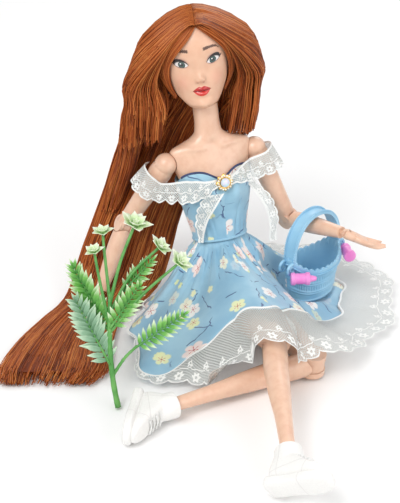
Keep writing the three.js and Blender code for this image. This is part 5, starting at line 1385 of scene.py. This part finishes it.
around = np.concatenate([sweep_turn, sweep_turn[-2:]]) * 22
uv = pairs(around, np.append(rise, [38, 40])[:, None])
crown = facing(skin("crown_mass", crown_points, MASS, wrap=False, caps=False, uv=uv), HEAD.at(0, 0, 8))
thicken(crown, 2.4)
seat(crown, "head", "hair", "hair_crown")

BANG_INNER = {-1: [[PARTING, 30.2, 0.7], [-0.34, 26, 1.4], [-0.64, 20, 1.9], [-0.93, 13.5, 1.9],
                   [-1.1, 7.7, 1.7], [-1.22, 1.5, 1.4], [-1.3, -3, 0.9]],
              1: [[PARTING, 30.2, 0.7], [0.2, 26.5, 1.4], [0.56, 20.5, 1.9], [0.8, 14.5, 1.9],
                  [0.96, 9, 1.7], [1.1, 3.5, 1.4], [1.2, -1, 0.9]]}
BANG_OUTER = {-1: [[-0.3, 36.2, 2.6], [-0.8, 33.4, 3.6], [-1.22, 27, 3.8], [-1.5, 18, 3.6],
                   [-1.62, 9, 3.2], [-1.58, 1, 2.4], [-1.46, -5, 1.2]],
              1: [[0.06, 36.2, 2.6], [0.6, 33.4, 3.6], [1.12, 27, 3.8], [1.42, 18, 3.6],
                  [1.54, 9, 3.2], [1.5, 2, 2.4], [1.38, -3.5, 1.2]]}


def bang_paths(side, count, points):
    inner, outer = (columns_at(np.linspace(0, 1, len(edge)), edge, np.linspace(0, 1, points))
                    for edge in (BANG_INNER[side], BANG_OUTER[side]))
    share = np.sort(rng.random(count))[:, None]
    clump = np.round(share * 16) / 16
    along = np.linspace(0, 1, points)[None]
    across = lerp(share, clump, 0.55 * smooth(0.3, 1, along))
    turn, rise, off = (lerp(inner[None, :, at], outer[None, :, at], across) for at in range(3))
    off = off * (0.72 + 0.34 * rng.random((count, 1))) + 0.25 * np.sin(share * 50 + along * 2)
    turn = turn + 0.012 * np.sin(along * 7 + 40 * share)
    spot = head_point(turn, np.minimum(rise, HAIR_TOP), off, face=False)
    return spot + HEAD.z * np.maximum(rise - HAIR_TOP, 0)[..., None]


PART_LINE = curve_through(np.concatenate([
    hair_point(np.full(4, PARTING), np.array([31.0, 33.0, 34.8, 36.4]), 0.75),
    hair_point(np.full(4, math.pi), np.array([36.4, 34.6, 31.0, 26.0]), 0.9)]) + HEAD.z * 0.35, 200)


def side_paths(side, count, points, part=1.0, depth=(1.0, 1.0)):
    """Hair that is swept back from behind the bangs, and over the top to the back of the head. Part keeps to
    the front share of it, and depth says how full it lies."""
    share = part * np.sort(rng.random(count) ** 1.15)[:, None]
    clump = np.round(share * 30) / 30
    along = np.linspace(0, 1, points)[None]
    across = lerp(share, clump, 0.5 * smooth(0.15, 0.8, along))
    first = lerp(0.5, 3.16, across**1.2)
    last = lerp(1.3, 3.24, across**0.9)
    high = lerp(32.5, 36.4, np.minimum(across * 2.2, 1))
    turn = side * lerp(first, last, smooth(0, 0.75, along)) + PARTING * (1 - along)
    rise = lerp(high, -8.4 - 18 * rng.random((count, 1)) ** 1.2, along**1.25)
    full = lerp(0.8, 1.0, smooth(0.0, 0.42, along)) * (0.9 + 0.14 * rng.random((count, 1)))
    full = full * lerp(*depth, rng.random((count, 1))) + 0.025 * np.sin(along * 9 + 60 * share)
    spot = hair_point(turn, np.maximum(rise, HAIR_LOW), full)
    spot = spot + (HEAD.z + HEAD.x * 0.22) * np.minimum(rise - HAIR_LOW, 0)[..., None]
    near = smooth(0.34, 0.0, along)
    root = PART_LINE[np.clip((share[:, 0] * len(PART_LINE)).astype(int), 0, len(PART_LINE) - 1)]
    root = root[:, None] + HEAD.x * side * (0.1 + 0.5 * rng.random((count, 1, 1)))
    arch = 1.3 * near * (1 - near) * 4 * (1 - 0.4 * share)
    return lerp(spot, root, near[..., None]) + HEAD.z * arch[..., None]


BANG_STRANDS, SWEPT_STRANDS, INNER_STRANDS = 560, 1500, 800
for word, side in SIDES.items():
    seat(strands(f"{word}_bangs", bang_paths(side, BANG_STRANDS, 15), 0.2, HEAD_TAPER), "head", "hair")
    seat(strands(f"{word}_swept_hair", side_paths(side, SWEPT_STRANDS, 17), 0.22, HEAD_TAPER), "head", "hair")
    inner = side_paths(side, INNER_STRANDS, 17, 0.4, (0.3, 0.85))
    seat(strands(f"{word}_inner_hair", inner, 0.22, HEAD_TAPER), "head", "hair")

# %% [markdown]
# ## Locks and fall
# Below the crown the hair runs along a few oval stations. The upper ends lie inside the crown.


# %% Locks and fall
def lock_stations(rows):
    rows = np.array(rows, float)
    swing = np.radians(rows[:, 4])
    across = np.stack([np.cos(swing), np.sin(swing), 0 * swing], 1) * rows[:, 3:4]
    through = np.stack([-np.sin(swing), np.cos(swing), 0 * swing], 1) * rows[:, 5:6]
    return np.concatenate([rows[:, :3], across, through], 1)


def fall_stations(rows):
    rows = np.array(rows, float)
    tip = np.radians(rows[:, 4])
    across = np.stack([rows[:, 3], 0 * tip, 0 * tip], 1)
    through = np.stack([0 * tip, np.cos(tip), -np.sin(tip)], 1) * rows[:, 5:6]
    return np.concatenate([rows[:, :3], across, through], 1)


def station_at(stations, share):
    """Centre and half axes of a lock at shares of its length."""
    steps = path_steps(stations[:, :3])
    return np.split(columns_at(steps, stations, share * steps[-1]), 3, axis=-1)


def lock_mass(name, stations, rows, cols, shrink, part):
    share = lerp(*part, np.linspace(0, 1, rows))
    centre, across, through = station_at(stations, share)
    turn = full_turn(cols)
    size = shrink * (1 + 0.02 * np.sin(turn * 31) + 0.03 * np.sin(turn * 13 + 1))
    rings = (centre[:, None] + across[:, None] * (size * np.cos(turn))[None, :, None]
             + through[:, None] * (size * np.sin(turn))[None, :, None])
    rings[..., 2] = np.maximum(rings[..., 2], 0.5)
    around = np.linspace(0, 2 * math.pi, cols + 1)
    return skin(name, rings, MASS, uv=pairs(around[None] * 14, share[:, None] * 200))


def lock_paths(stations, count, points, clumps, wave=1.0, ends=(0.86, 1.0)):
    share = lerp(0.1 * rng.random((count, 1)), lerp(*ends, rng.random((count, 1))),
                 np.linspace(0, 1, points)[None])
    centre, across, through = station_at(stations, share)
    turn = rng.random(clumps) * 2 * math.pi
    reach = 0.55 + 0.47 * rng.random(clumps) ** 0.5
    pick = rng.integers(0, clumps, count)
    p = reach[pick] * np.cos(turn[pick])
    q = reach[pick] * np.sin(turn[pick])
    spread_p, spread_q = rng.normal(0, 0.16, (2, count))
    loose = lerp(1.0, 0.45, smooth(0.1, 0.9, share))
    p, q = p[:, None] + spread_p[:, None] * loose, q[:, None] + spread_q[:, None] * loose
    over = np.maximum(np.hypot(p, q), 1.0)
    phase = rng.random((count, 2)) * 6.28
    p = p / over + wave * 0.03 * np.sin(share * 9 + phase[:, :1])
    q = q / over + wave * 0.05 * np.sin(share * 11 + phase[:, 1:])
    paths = centre + across * p[..., None] + through * q[..., None]
    paths[..., 2] = np.maximum(paths[..., 2], 0.45)
    return paths


FALL = fall_stations([
    [-14, 32, 126, 13, 0, 6], [-15, 33.6, 112, 18, 0, 7], [-17, 33, 98.2, 20, 0, 6],
    [-24, 32.6, 86, 22, 0, 5.4], [-31, 32.6, 70, 22, 0, 5.4], [-38.5, 30, 50, 21, 10, 5.4],
    [-45, 25, 33, 21, 24, 5.4], [-50, 19, 18, 22, 48, 5], [-54, 10.5, 8, 21.5, 66, 3.8],
    [-60, 0, 3.1, 19.5, 82, 2], [-69, -13, 2.1, 18.5, 88, 1.3], [-76, -36, 2.1, 22, 90, 1.3],
    [-80, -62, 2, 25, 90, 1.2], [-82, -71, 1.5, 21, 90, 0.6]])
RIGHT_LOCK = lock_stations([
    [-36, 20, 118, 6, 108, 4], [-40, 20.2, 108, 7.2, 110, 5], [-41.8, 20.6, 98.2, 7.4, 112, 5],
    [-44.4, 21, 89, 7, 118, 5.4], [-45.6, 22, 80, 6.4, 125, 4.8], [-48, 23, 68, 5.6, 130, 4.2],
    [-52.5, 25, 54, 5, 140, 4], [-57.5, 24.5, 40, 4, 150, 3]])
LEFT_LOCK = lock_stations([
    [10, 22, 116, 6, 70, 4.4], [10.8, 25, 108, 7.8, 60, 4.6], [7.6, 27.6, 100.8, 9.2, 42, 4.2],
    [5.8, 30.4, 91, 10.6, 24, 3.8], [5, 33, 83, 9.4, 18, 3], [4.6, 34.4, 76, 6, 14, 2]])


# A lower place by the torso and an upper place by the neck, for the fall and each lock
FALL_HANGS, RIGHT_HANGS, LEFT_HANGS = (((-33, 32, 62), (-17, 33, 100)), ((-46, 22, 76), (-42, 21, 100)),
                                       ((9, 34, 78), (10, 27, 101)))
stretch(lock_mass("fall_mass", FALL, 90, 72, 0.86, (0.03, 0.955)), "neck", "hair", *FALL_HANGS, "hair_fall")
for part in ("inner", "outer"):
    paths = lock_paths(FALL, 1250, 22, 80, ends=(0.8, 1.0))
    stretch(strands(f"fall_strands_{part}", paths, 0.24, FALL_TAPER), "neck", "hair", *FALL_HANGS)
mass = lock_mass("right_lock_mass", RIGHT_LOCK, 40, 40, 0.8, (0.06, 0.9))
stretch(mass, "neck", "hair", *RIGHT_HANGS, "hair_right_lock")
stretch(strands("right_lock_strands", lock_paths(RIGHT_LOCK, 900, 18, 34), 0.22), "neck", "hair",
        *RIGHT_HANGS)
mass = lock_mass("left_lock_mass", LEFT_LOCK, 36, 40, 0.78, (0.06, 0.88))
stretch(mass, "neck", "hair", *LEFT_HANGS, "hair_left_lock")
paths = lock_paths(LEFT_LOCK, 700, 16, 30, 1.4, (0.74, 1.0))
stretch(strands("left_lock_strands", paths, 0.2), "neck", "hair", *LEFT_HANGS)

# %% [markdown]
# ## Sneakers
# The white high-tops are soft moulded plastic. A long upper and an ankle collar are melted together like the
# hands, a rubber sole with a ridge runs round below, and bars of lace cross the instep between two rows of
# eyelets.


# %% Sneakers
def shoe_finish(name, here, panel):
    """White plastic. Grooves for the panels are measured on the foot's own axes."""
    finish = Finish(name)
    spot = finish.spot()
    y, z = finish.along(spot, here.origin, here.y), finish.along(spot, here.origin, here.z)
    grain = finish.noise(spot, 1500.0, 3.0)
    groove = abs(y + 12.6 + z * 0.25).step(0.32, 0.1).most(abs(z + y * 0.28 + 5.0).step(0.3, 0.1) * panel)
    groove = groove.most(abs(y - 2.6 - z * 0.1).step(0.28, 0.1) * panel)
    colour = finish.mix(grain.step(0.3, 0.8) * 0.5, tint(238, 237, 234), tint(228, 226, 224))
    # The panel grooves are painted darker as well as pressed in by the bump: painted shade in the grooves.
    colour = finish.mix(groove * 0.22, colour, tint(186, 178, 178))
    return finish.coat(Base_Color=colour, Roughness=grain * 0.12 + 0.36, Coat_Weight=0.1,
                       Normal=finish.bump(grain * 0.2 - groove * 0.8, 0.35, 0.0003))


FOOT_UP = {"right": (0.275, 0.906, 0.323), "left": (0.987, -0.149, -0.055)}
SHOE_TOP = [[4, 2.4], [10, -1], [16, -3.8]]
# Rows give the run along the foot, half its width, and its lower and upper height
SHOE_UPPER = [[7.6, 3.6, -9, 3], [4, 5.2, -9, 4], [-4, 5.6, -9, 2.6], [-10, 5.8, -9, -0.8],
              [-16, 5.4, -9, -3.6], [-22, 2.8, -9, -6.6]]
SHOE_SOLE = [[8.6, 3.8, -12.6, -8.2], [6, 5.5, -12.8, -7.8], [-3, 5.4, -12.8, -7.8], [-13, 6.3, -12.8, -8],
             [-19, 5.5, -12.6, -8], [-23.4, 3, -12, -8.6]]
COLLAR = [[7.6, 5.8, 6, 6], [3, 5.8, 6.2, 6.2], [-5, 5, 5.4, 5.4]]
LACE_BARS = -6.2, -8.2, -10.2, -12.2
LACE_CORD = plain_finish("shoe_lace", tint(240, 240, 238), tint(226, 226, 224), 0.7, 0.5, 2600.0)


def across(name, here, stations, material=None, ridge=0.0):
    """A boxy form along the foot: rows of rounded sections, with rounded ends."""
    rows, cols = 60, 64
    stations = np.array(stations, float)
    run = np.linspace(stations[0, 0], stations[-1, 0], rows)
    half, low, high = columns_at(-stations[:, 0], stations[:, 1:], -run).T[..., None]
    end = np.minimum(np.arange(rows), np.arange(rows)[::-1])[:, None] / 5
    close = np.sqrt(1 - np.maximum(1 - end, 0) ** 2 * 0.9)
    turn = full_turn(cols)[None]
    square = lambda value: np.sign(value) * np.abs(value) ** 0.6
    x = half * close * square(np.cos(turn))
    z = (low + high) / 2 + (high - low) / 2 * close * square(np.sin(turn))
    x = x * (1 + ridge * np.sin((z - low) * 2.6))
    return skin(name, here.at(x, run[:, None], z), material)


eyelet_turn = full_turn(12)
for key, bone in bones.items():
    here = Frame(bone["ankle"], FOOT_UP[key], bone["knee_axis"])
    leg = Frame(bone["ankle"], -bone["shin"], bone["knee_axis"])
    forms = [across("upper", here, SHOE_UPPER), limb("collar", leg, COLLAR, 48, 40)]
    shoe = joined(f"{key}_shoe_upper", forms, shoe_finish(f"{key}_shoe_plastic", here, 1.0))
    melted(shoe, 0.26, 8)
    carve(shoe, [rod(bone["ankle"], leg.at(0, 0, 9.5), ANKLE_RADIUS + 1.2, 40, ANKLE_RADIUS + 2)])
    seat(shoe, f"{key}_foot", "sneaker", f"{key}_sneaker")
    rubber = shoe_finish(f"{key}_sole_rubber", here, 0.0)
    seat(across(f"{key}_shoe_sole", here, SHOE_SOLE, rubber, ridge=0.02), f"{key}_foot", "sneaker")
    cords, eyelets = [], []
    for y in LACE_BARS:
        top = float(profile(SHOE_TOP, -y))
        for way in (-1, 1):
            lean = np.linspace(-1, 1, 12)
            path = here.at(lean * 3.4, y + way * lean * 0.9, top + 0.75 - 0.5 * lean**2)
            cords.append(tube("cord", path, 0.42, None, 8))
            hole = here.at(way * 3.8 + 0.5 * np.cos(eyelet_turn), y + 0.5 * np.sin(eyelet_turn), top - 0.1)
            eyelets.append(tube("eyelet", hole, 0.2, None, 6, True))
    seat(joined(f"{key}_shoe_laces", cords + eyelets, LACE_CORD), f"{key}_foot", "sneaker")

# %% [markdown]
# ## Carrier
# The basket is one blue moulding: a fluted tub with a scalloped, beaded rim, a wide arched handle with beaded
# edges and a scroll at each foot of the handle. The beads are one shape set on many points by a node group.


# %% One shape on many points
def scatter_group():
    group = Group("set_on_points", Shape="Object", Finish="Material")
    shape = group.tree.nodes.new("GeometryNodeObjectInfo")
    group.tree.links.new(group.given["Shape"], shape.inputs["Object"])
    turn = group.node("FunctionNodeAxesToRotation", {"primary_axis": "Y", "secondary_axis": "Z"},
                      Primary_Axis=group.read("way", "FLOAT_VECTOR"),
                      Secondary_Axis=group.read("up", "FLOAT_VECTOR"))
    return group.paint(group.node("GeometryNodeInstanceOnPoints", Points=group.given["Geometry"],
                                  Rotation=turn, Instance=shape.outputs["Geometry"],
                                  Scale=group.read("size")))


SCATTER = scatter_group()


def scatter(name, shape, material, points, size, way=(0, 1, 0), up=(0, 0, 1)):
    """Copies of a shape at points in millimetres, each with a size, a direction, an upper side and a tone."""
    points = np.asarray(points, float).reshape(-1, 3)
    count = len(points)
    mesh = raw_mesh(name, points)
    label(mesh, "size", np.broadcast_to(size, count))
    label(mesh, "tone", rng.random(count))
    label(mesh, "way", np.broadcast_to(way, (count, 3)))
    label(mesh, "up", np.broadcast_to(up, (count, 3)))
    thing = SCATTER.run(link(name, mesh), Shape=shape, Finish=material)
    bpy.data.objects.remove(shape)
    return thing


# %% Tub, handle and beads
def carrier_finish():
    finish = Finish("blue_moulding")
    spot = finish.spot()
    grain = finish.noise(spot, 1100.0, 3.0)
    cloud = finish.noise(spot, 60.0, 2.0)
    colour = finish.mix(cloud.step(0.3, 0.7), tint(132, 186, 218), tint(158, 205, 231))
    return finish.coat(Base_Color=colour, Roughness=grain * 0.1 + 0.36, Normal=finish.bump(grain, 0.08),
                       Coat_Weight=0.15)


BLUE = carrier_finish()
CARRIER_DROP = CARRIER_AT[2] - CARRIER_BASE


def tub_ring(turn, share, grow=0.0, rise=0.0, up=0.0):
    swell = 0.74 + 0.26 * max(share, 0) ** 0.6
    height = rise + share * (CARRIER_TALL - rise + 6 * np.cos(turn) ** 4) + up
    x, y = CARRIER_LONG / 2 * swell + grow, CARRIER_WIDE / 2 * swell + grow
    return CARRIER.at(x * np.cos(turn), y * np.sin(turn), height - CARRIER_DROP)


turn = full_turn(360)
flutes = np.abs(np.sin(turn * 30))
scallop = np.abs(np.sin(turn * 15))
rings = [tub_ring(turn, 0, grow) for grow in (-9.5, -6, -3, -1.4)]
for share in np.linspace(0.03, 0.84, 54):
    band = 0.55 * sum(hump(share - level, 0.022) for level in (0.1, 0.3, 0.36, 0.56, 0.62, 0.8))
    relief = 0.3 * flutes * (hump(share - 0.46, 0.07) + hump(share - 0.71, 0.06))
    rings.append(tub_ring(turn, share, -0.4 + relief + band))
rings += [tub_ring(turn, share, grow, rise, wave * scallop) for share, grow, rise, wave in (
    (0.86, 0.1, 0, 0), (0.88, 0.7, 0, 0), (0.93, 0.8, 0, 0), (0.97, 0.8, 0, 0.5), (1, 0.5, 0, 0.9),
    (1, -0.5, 0, 0.9), (0.96, -1.1, 0, 0), (0.8, -1.3, 0, 0), (0.5, -1.3, 0, 0), (0.2, -1.3, 0.6, 0),
    (0.04, -1.3, 1.3, 0), (0.0, -6, 1.3, 0))]
parts = [skin("tub", rings)]
HANDLE_HALF, HANDLE_FOOT, HANDLE_TOP = CARRIER_LONG / 2 - 0.65, CARRIER_TALL + 6 - CARRIER_DROP - 2.4, 6.6


def handle_spot(angle, wide, out):
    arch = np.maximum(np.sin(angle), 0)
    x, z = HANDLE_HALF * np.cos(angle), HANDLE_FOOT + (HANDLE_TOP - HANDLE_FOOT) * arch**0.75
    push = np.stack([np.cos(angle), 0 * angle, np.sin(angle)], -1)
    return CARRIER.at(x + push[..., 0] * out, wide + 0 * x, z + push[..., 2] * out)


angle = np.linspace(0, math.pi, 120)
section = [(-3.5, 0), (-3.5, 0.9), (-3.2, 1.35), (-2.7, 1.35), (-2.4, 0.9), (0, 0.75), (2.4, 0.9),
           (2.7, 1.35), (3.2, 1.35), (3.5, 0.9), (3.5, 0), (0, -0.1)]
parts.append(skin("handle", np.stack([handle_spot(angle, wide, out - 0.3) for wide, out in section], 1)))
coil = np.linspace(0, 3.4 * math.pi, 60)
size = lerp(3.2, 0.8, coil / coil[-1])
for way in (1, -1):
    for wide in (-2.6, 2.6):
        path = CARRIER.at(way * (HANDLE_HALF + 2.2 + size * np.cos(coil + math.pi)), wide,
                          HANDLE_FOOT - 1.5 + size * np.sin(coil))
        parts.append(tube("scroll", path, lerp(0.85, 0.5, coil / coil[-1]), None))
tub = joined("moulded_carrier", parts, BLUE)
tub.data.set_sharp_from_angle(angle=rad(50))
seat(tub, "carrier", "carrier", "carrier")
ring_turn = full_turn(120)
bead_spots = [tub_ring(ring_turn, 0.9, 0.95)]
for wide in (-2.95, 2.95):
    bead_spots.append(handle_spot(np.linspace(0.02, math.pi - 0.02, 72), wide, 1.25))
beads = scatter("carrier_beads", ball(np.zeros(3), 0.5, 10), BLUE, np.concatenate(bead_spots), 1.0)
seat(beads, "carrier", "carrier")

# %% [markdown]
# ## Bottles
# Two small pink bottles hang on the rim. Each is a turned form with a teat, a collar and a ribbed cap.

# %% Bottles
PINK = plain_finish("pink_plastic", tint(236, 124, 204), tint(243, 152, 217), 0.3, 0.06, Coat_Weight=0.2)
OUTLINE = [[-1, 0.8], [-0.98, 0.94], [-0.94, 0.99], [-0.7, 1], [-0.62, 0.86], [-0.2, 0.84], [0.1, 0.86],
           [0.16, 0.98], [0.2, 1], [0.42, 1], [0.46, 0.94], [0.5, 0.62], [0.62, 0.5], [0.8, 0.42],
           [0.94, 0.34], [1, 0.18]]
turn = full_turn(48)
for word, place in (("near", 215), ("far", -20)):
    x, y = CARRIER_LONG / 2 * math.cos(rad(place)), CARRIER_WIDE / 2 * math.sin(rad(place))
    out = unit(CARRIER.x * x / (CARRIER_LONG / 2) ** 2 + CARRIER.y * y / (CARRIER_WIDE / 2) ** 2)
    centre = CARRIER.at(x, y, CARRIER_TALL - CARRIER_DROP - 0.6) + out * 4.2
    here = Frame(centre, (0, 0, 1), out)
    reach = np.linspace(-1, 1, 90)
    radius = 3.1 * np.interp(reach, *np.array(OUTLINE).T)[:, None]
    capped = (smooth(0.18, 0.22, reach) * (1 - smooth(0.4, 0.44, reach)))[:, None]
    radius = radius * (1 + 0.03 * np.sin(turn * 24)[None] * capped)
    rings = here.at(radius * np.cos(turn)[None], 6.25 * reach[:, None], radius * np.sin(turn)[None])
    seat(skin(f"{word}_pink_bottle", rings, PINK), "carrier", "bottle", f"{word}_bottle")

# %% [markdown]
# ## Flower sprig
# The sprig is cast plastic greenery: a forked stem, five fern leaves with paired pointed leaflets that pale
# towards their tips, and five open flowers. One leaflet and one petal are modelled, and the node group sets
# the copies.


# %% Sprig finishes and shapes
def leaf_finish(name, base, middle, tips):
    finish = Finish(name)
    tip, tone = finish.attribute("tip"), finish.attribute("tone")
    spot = finish.spot()
    mottle = finish.noise(spot, 500.0, 3.0)
    place = tip + (mottle - 0.5) * 0.3 + (tone - 0.5) * 0.16
    colour = finish.node("ShaderNodeValToRGB", {"stops": [(0.0, base), (1.0, tips), (0.5, middle)]},
                         {0: place})
    return finish.coat(Base_Color=colour, Roughness=mottle * 0.12 + 0.36, Normal=finish.bump(mottle, 0.15),
                       Coat_Weight=0.1)


STEM = plain_finish("green_stem", tint(70, 140, 62), tint(104, 166, 84), 0.38, 0.2)
FERN_GREEN = leaf_finish("fern_green", tint(46, 122, 40), tint(108, 176, 76), tint(228, 240, 208))
FERN_GREY = leaf_finish("fern_grey", tint(84, 132, 92), tint(134, 172, 140), tint(204, 226, 196))
PETALS = leaf_finish("pale_petals", tint(122, 178, 92), tint(206, 228, 178), tint(246, 248, 236))


def blade(name, length, width, cup, notch):
    """A pointed leaf along Y with a folded middle. Its tip value is 0 at the foot and 1 at the point."""
    rows, cols = 9, 5
    along = np.linspace(0, 1, rows)[:, None]
    side = np.linspace(-1, 1, cols)[None]
    half = width / 2 * np.sin(math.pi * np.clip(along * 0.86 + 0.12, 0, 1)) ** 0.8 * (1 - 0.93 * along**5)
    half = half * (1 + notch * np.sin(along * 22))
    x = half * side
    z = cup * along**2 * length + np.abs(side) * half * 0.35
    points = np.stack(np.broadcast_arrays(x, along * length + 0 * side, z), -1)
    thing = skin(name, points, wrap=False, caps=False)
    label(thing.data, "tip", np.repeat(along[:, 0], cols))
    return thicken(thing, 0.22)


# %% Stems
SPRIG = Frame((-48.5, -87, 0.55), (0, -math.cos(rad(28)), math.sin(rad(28))), (1, 0, 0))
# Each branch has its spots and the size of its flower, which is 0 where it bears none
BRANCHES = [([[0, 0, 0], [-2.2, 12, 0.4], [-3.6, 28, 0.6], [-3.5, 51, 0]], 0),
            ([[-3.5, 46, 0], [-6, 68, -1], [-6.8, 76.4, -1.6]], 0.82),
            ([[-3.5, 46, 0], [1, 64, 1], [7, 79.6, 1.4]], 1.2),
            ([[-3.6, 36, 0], [-8, 56, 1.4], [-10.2, 68, 2]], 0.74),
            ([[-3.5, 42, 0], [6, 59, -1], [17.6, 70.2, -1.6]], 0.9),
            ([[-3.8, 33, 0], [11, 50, 1.4], [26.4, 63.4, 2.4]], 1.0),
            ([[-2.4, 14, 0], [3, 22, 1.2], [8.4, 27.4, 2]], 0)]
stems = []
for at, (spots, _) in enumerate(BRANCHES):
    path = SPRIG.at(*curve_through(spots, 26).T)
    wide = np.linspace(1.35, 0.95, 26) if at == 0 else np.linspace(0.8, 0.6, 26)
    stems.append(tube("stem", path, wide * (1 + 0.05 * np.sin(np.arange(26) * 1.7)), None, 12))
seat(joined("sprig_stems", stems, STEM), "sprig", "stem", "sprig_stem")

# %% Ferns
FERNS = [([-4, 20], [-18.5, 47], 1.45, 14, 8.6), ([-4.6, 34], [-19.6, 62], -1.35, -12, 8),
         ([-2.8, 36], [9, 53], 1.45, 16, 7), ([2.6, 51.6], [14.6, 64.6], -2.25, -16, 5.6),
         ([8.6, 27.2], [28.8, 41], 2.65, 8, 6.4)]
for at, (root, tip, off, tilt, width) in enumerate(FERNS, 1):
    start, end = SPRIG.at(*root, off), SPRIG.at(*tip, off)
    run, length = unit(end - start), np.linalg.norm(end - start)
    side = unit(np.cross(SPRIG.z, run))
    face = np.cross(run, side)
    level, slope = math.cos(rad(tilt)), math.sin(rad(tilt))
    side, face = side * level + face * slope, face * level - side * slope
    count = round(length / 2.35)
    spots, ways, ups, sizes = [], [], [], []
    for step in range(count):
        share = (step + 0.6) / count
        reach = width * (0.5 + 0.62 * math.sin(math.pi * min(0.16 + share * 0.8, 1)))
        for way in (-1, 1):
            lean = rad(lerp(64, 34, share) + rng.normal(0, 4))
            lift = rng.normal(0.1, 0.1)
            spots.append(start + run * length * share)
            ways.append(unit(run * math.cos(lean) + side * way * math.sin(lean) + face * lift))
            ups.append(unit(face + side * way * 0.35 + run * 0.1))
            sizes.append(reach / 7)
    spots.append(end)
    ways.append(run)
    ups.append(face)
    sizes.append(0.6)
    leaflet = blade("leaflet", 7.0, 2.1, 0.06, 0.05)
    finish = FERN_GREY if at == 1 else FERN_GREEN
    seat(scatter(f"fern_{at}_leaflets", leaflet, finish, spots, sizes, ways, ups), "sprig", "leaf",
         f"fern_{at}")
    path = np.linspace(start - run * 1.2, end, 20)
    seat(tube(f"fern_{at}_rib", path, np.linspace(0.6, 0.25, 20), STEM, 8), "sprig", "leaf")

# %% Flowers
PETAL_LAYERS = (5, 0.3, 1.0), (5, 0.8, 0.8), (4, 2.0, 0.45)
CUP = (0.5, -0.9), (1.0, -0.4), (1.35, 0.3), (1.2, 1.0), (0.6, 1.5), (0.15, 1.7)
turn = full_turn(20)
for number, (spots, size) in enumerate((branch for branch in BRANCHES if branch[1]), 1):
    tip, before = SPRIG.at(*spots[-1]), SPRIG.at(*spots[-2])
    run = unit(tip - before)
    here = Frame(tip + run * 0.4, unit(run + 0.55 * SPRIG.z), (1, 0, 0))
    ways, ups, sizes = [], [], []
    for layer, (count, lift, reach) in enumerate(PETAL_LAYERS):
        for step in range(count):
            swing = 2 * math.pi * (step + 0.5 * layer) / count + rng.normal(0, 0.08)
            out = here.x * math.cos(swing) + here.y * math.sin(swing)
            ways.append(unit(out + here.z * (lift + rng.normal(0, 0.05))))
            ups.append(unit(here.z - out * 0.6))
            sizes.append(size * reach)
    foot = np.broadcast_to(here.origin, (len(ways), 3))
    petal = blade("petal", 7.2, 4.9, 0.1, 0.0)
    petals = scatter(f"flower_{number}_petals", petal, PETALS, foot, sizes, ways, ups)
    seat(petals, "sprig", "petal", f"flower_{number}")
    cup = here.lathe([(r * size, z * size) for r, z in CUP], turn)
    seat(skin(f"flower_{number}_cup", cup, STEM), "sprig", "petal")

# %% [markdown]
# ## Studio
# A pale floor that keeps the soft shadow, a large soft key light from the upper left, a weaker fill, a light
# from behind and an even world. The camera stands where the photograph was taken from, above the doll.

# %% Floor, lights and camera
def floor_finish():
    finish = Finish("studio_paper")
    spot = finish.spot()
    grain = finish.noise(spot, 900.0, 3.0)
    colour = finish.mix(grain * 0.5, tint(250, 250, 250), tint(246, 246, 245))
    return finish.coat(Base_Color=colour, Roughness=0.9)


FLOOR_HALF, FLOOR_RISE = 4000, -0.6
corners = [(x * FLOOR_HALF, y * FLOOR_HALF, FLOOR_RISE) for x, y in ((-1, -1), (1, -1), (1, 1), (-1, 1))]
link("studio_floor", raw_mesh("studio_floor", corners, [], [(0, 1, 2, 3)]), floor_finish())

world = bpy.data.worlds.new("studio")
bpy.context.scene.world = world
world.use_nodes = True
sky = world.node_tree
sky.nodes.clear()
rays = sky.nodes.new("ShaderNodeLightPath")
seen = rays.outputs["Is Camera Ray"]
for kind in ("Is Glossy Ray", "Is Transmission Ray"):
    either = sky.nodes.new("ShaderNodeMath")
    either.operation = "MAXIMUM"
    sky.links.new(seen, either.inputs[0])
    sky.links.new(rays.outputs[kind], either.inputs[1])
    seen = either.outputs[0]
soft, white = (sky.nodes.new("ShaderNodeBackground") for _ in range(2))
soft.inputs["Strength"].default_value = 0.62
white.inputs["Strength"].default_value = 1.0
for shade in (soft, white):
    shade.inputs["Color"].default_value = (1, 1, 1, 1)
blend = sky.nodes.new("ShaderNodeMixShader")
sky.links.new(seen, blend.inputs[0])
sky.links.new(soft.outputs[0], blend.inputs[1])
sky.links.new(white.outputs[0], blend.inputs[2])
sky.links.new(blend.outputs[0], sky.nodes.new("ShaderNodeOutputWorld").inputs[0])


def lamp(name, place, target, size, power):
    light = bpy.data.lights.new(name, "AREA")
    light.size, light.energy = size, power
    thing = bpy.data.objects.new(name, light)
    bpy.context.scene.collection.objects.link(thing)
    thing.location = place
    thing.rotation_euler = (Vector(target) - Vector(place)).to_track_quat("-Z", "Y").to_euler()


LAP = (0, -0.03, 0.05)
lamp("key_light", (-0.35, -0.55, 0.75), LAP, 0.5, 4.6)
lamp("fill_light", (0.6, -0.5, 0.45), LAP, 0.6, 1.9)
lamp("back_light", (0.2, 0.7, 0.6), (0, 0, 0.06), 0.5, 2.0)

CAMERA_LIFT, CAMERA_AWAY, CAMERA_AIM = rad(29.0), 0.7, Vector((-0.0124, 0.0, 0.031))
PHOTO_SIZE, PHOTO_FOCUS = (400, 503), 1448.0
camera = bpy.data.objects.new("camera", bpy.data.cameras.new("camera"))
bpy.context.scene.collection.objects.link(camera)
camera.location = CAMERA_AIM + Vector((0, -math.cos(CAMERA_LIFT), math.sin(CAMERA_LIFT))) * CAMERA_AWAY
camera.rotation_euler = (math.pi / 2 - CAMERA_LIFT, 0, 0)
camera.data.sensor_width = 36.0
camera.data.lens = PHOTO_FOCUS * camera.data.sensor_width / max(PHOTO_SIZE)
camera.data.clip_start = 0.01
bpy.context.scene.camera = camera
bpy.context.scene.view_settings.view_transform = "Standard"
print("camera lens", round(camera.data.lens, 1))

# %% Update the view layer
bpy.context.view_layer.update()
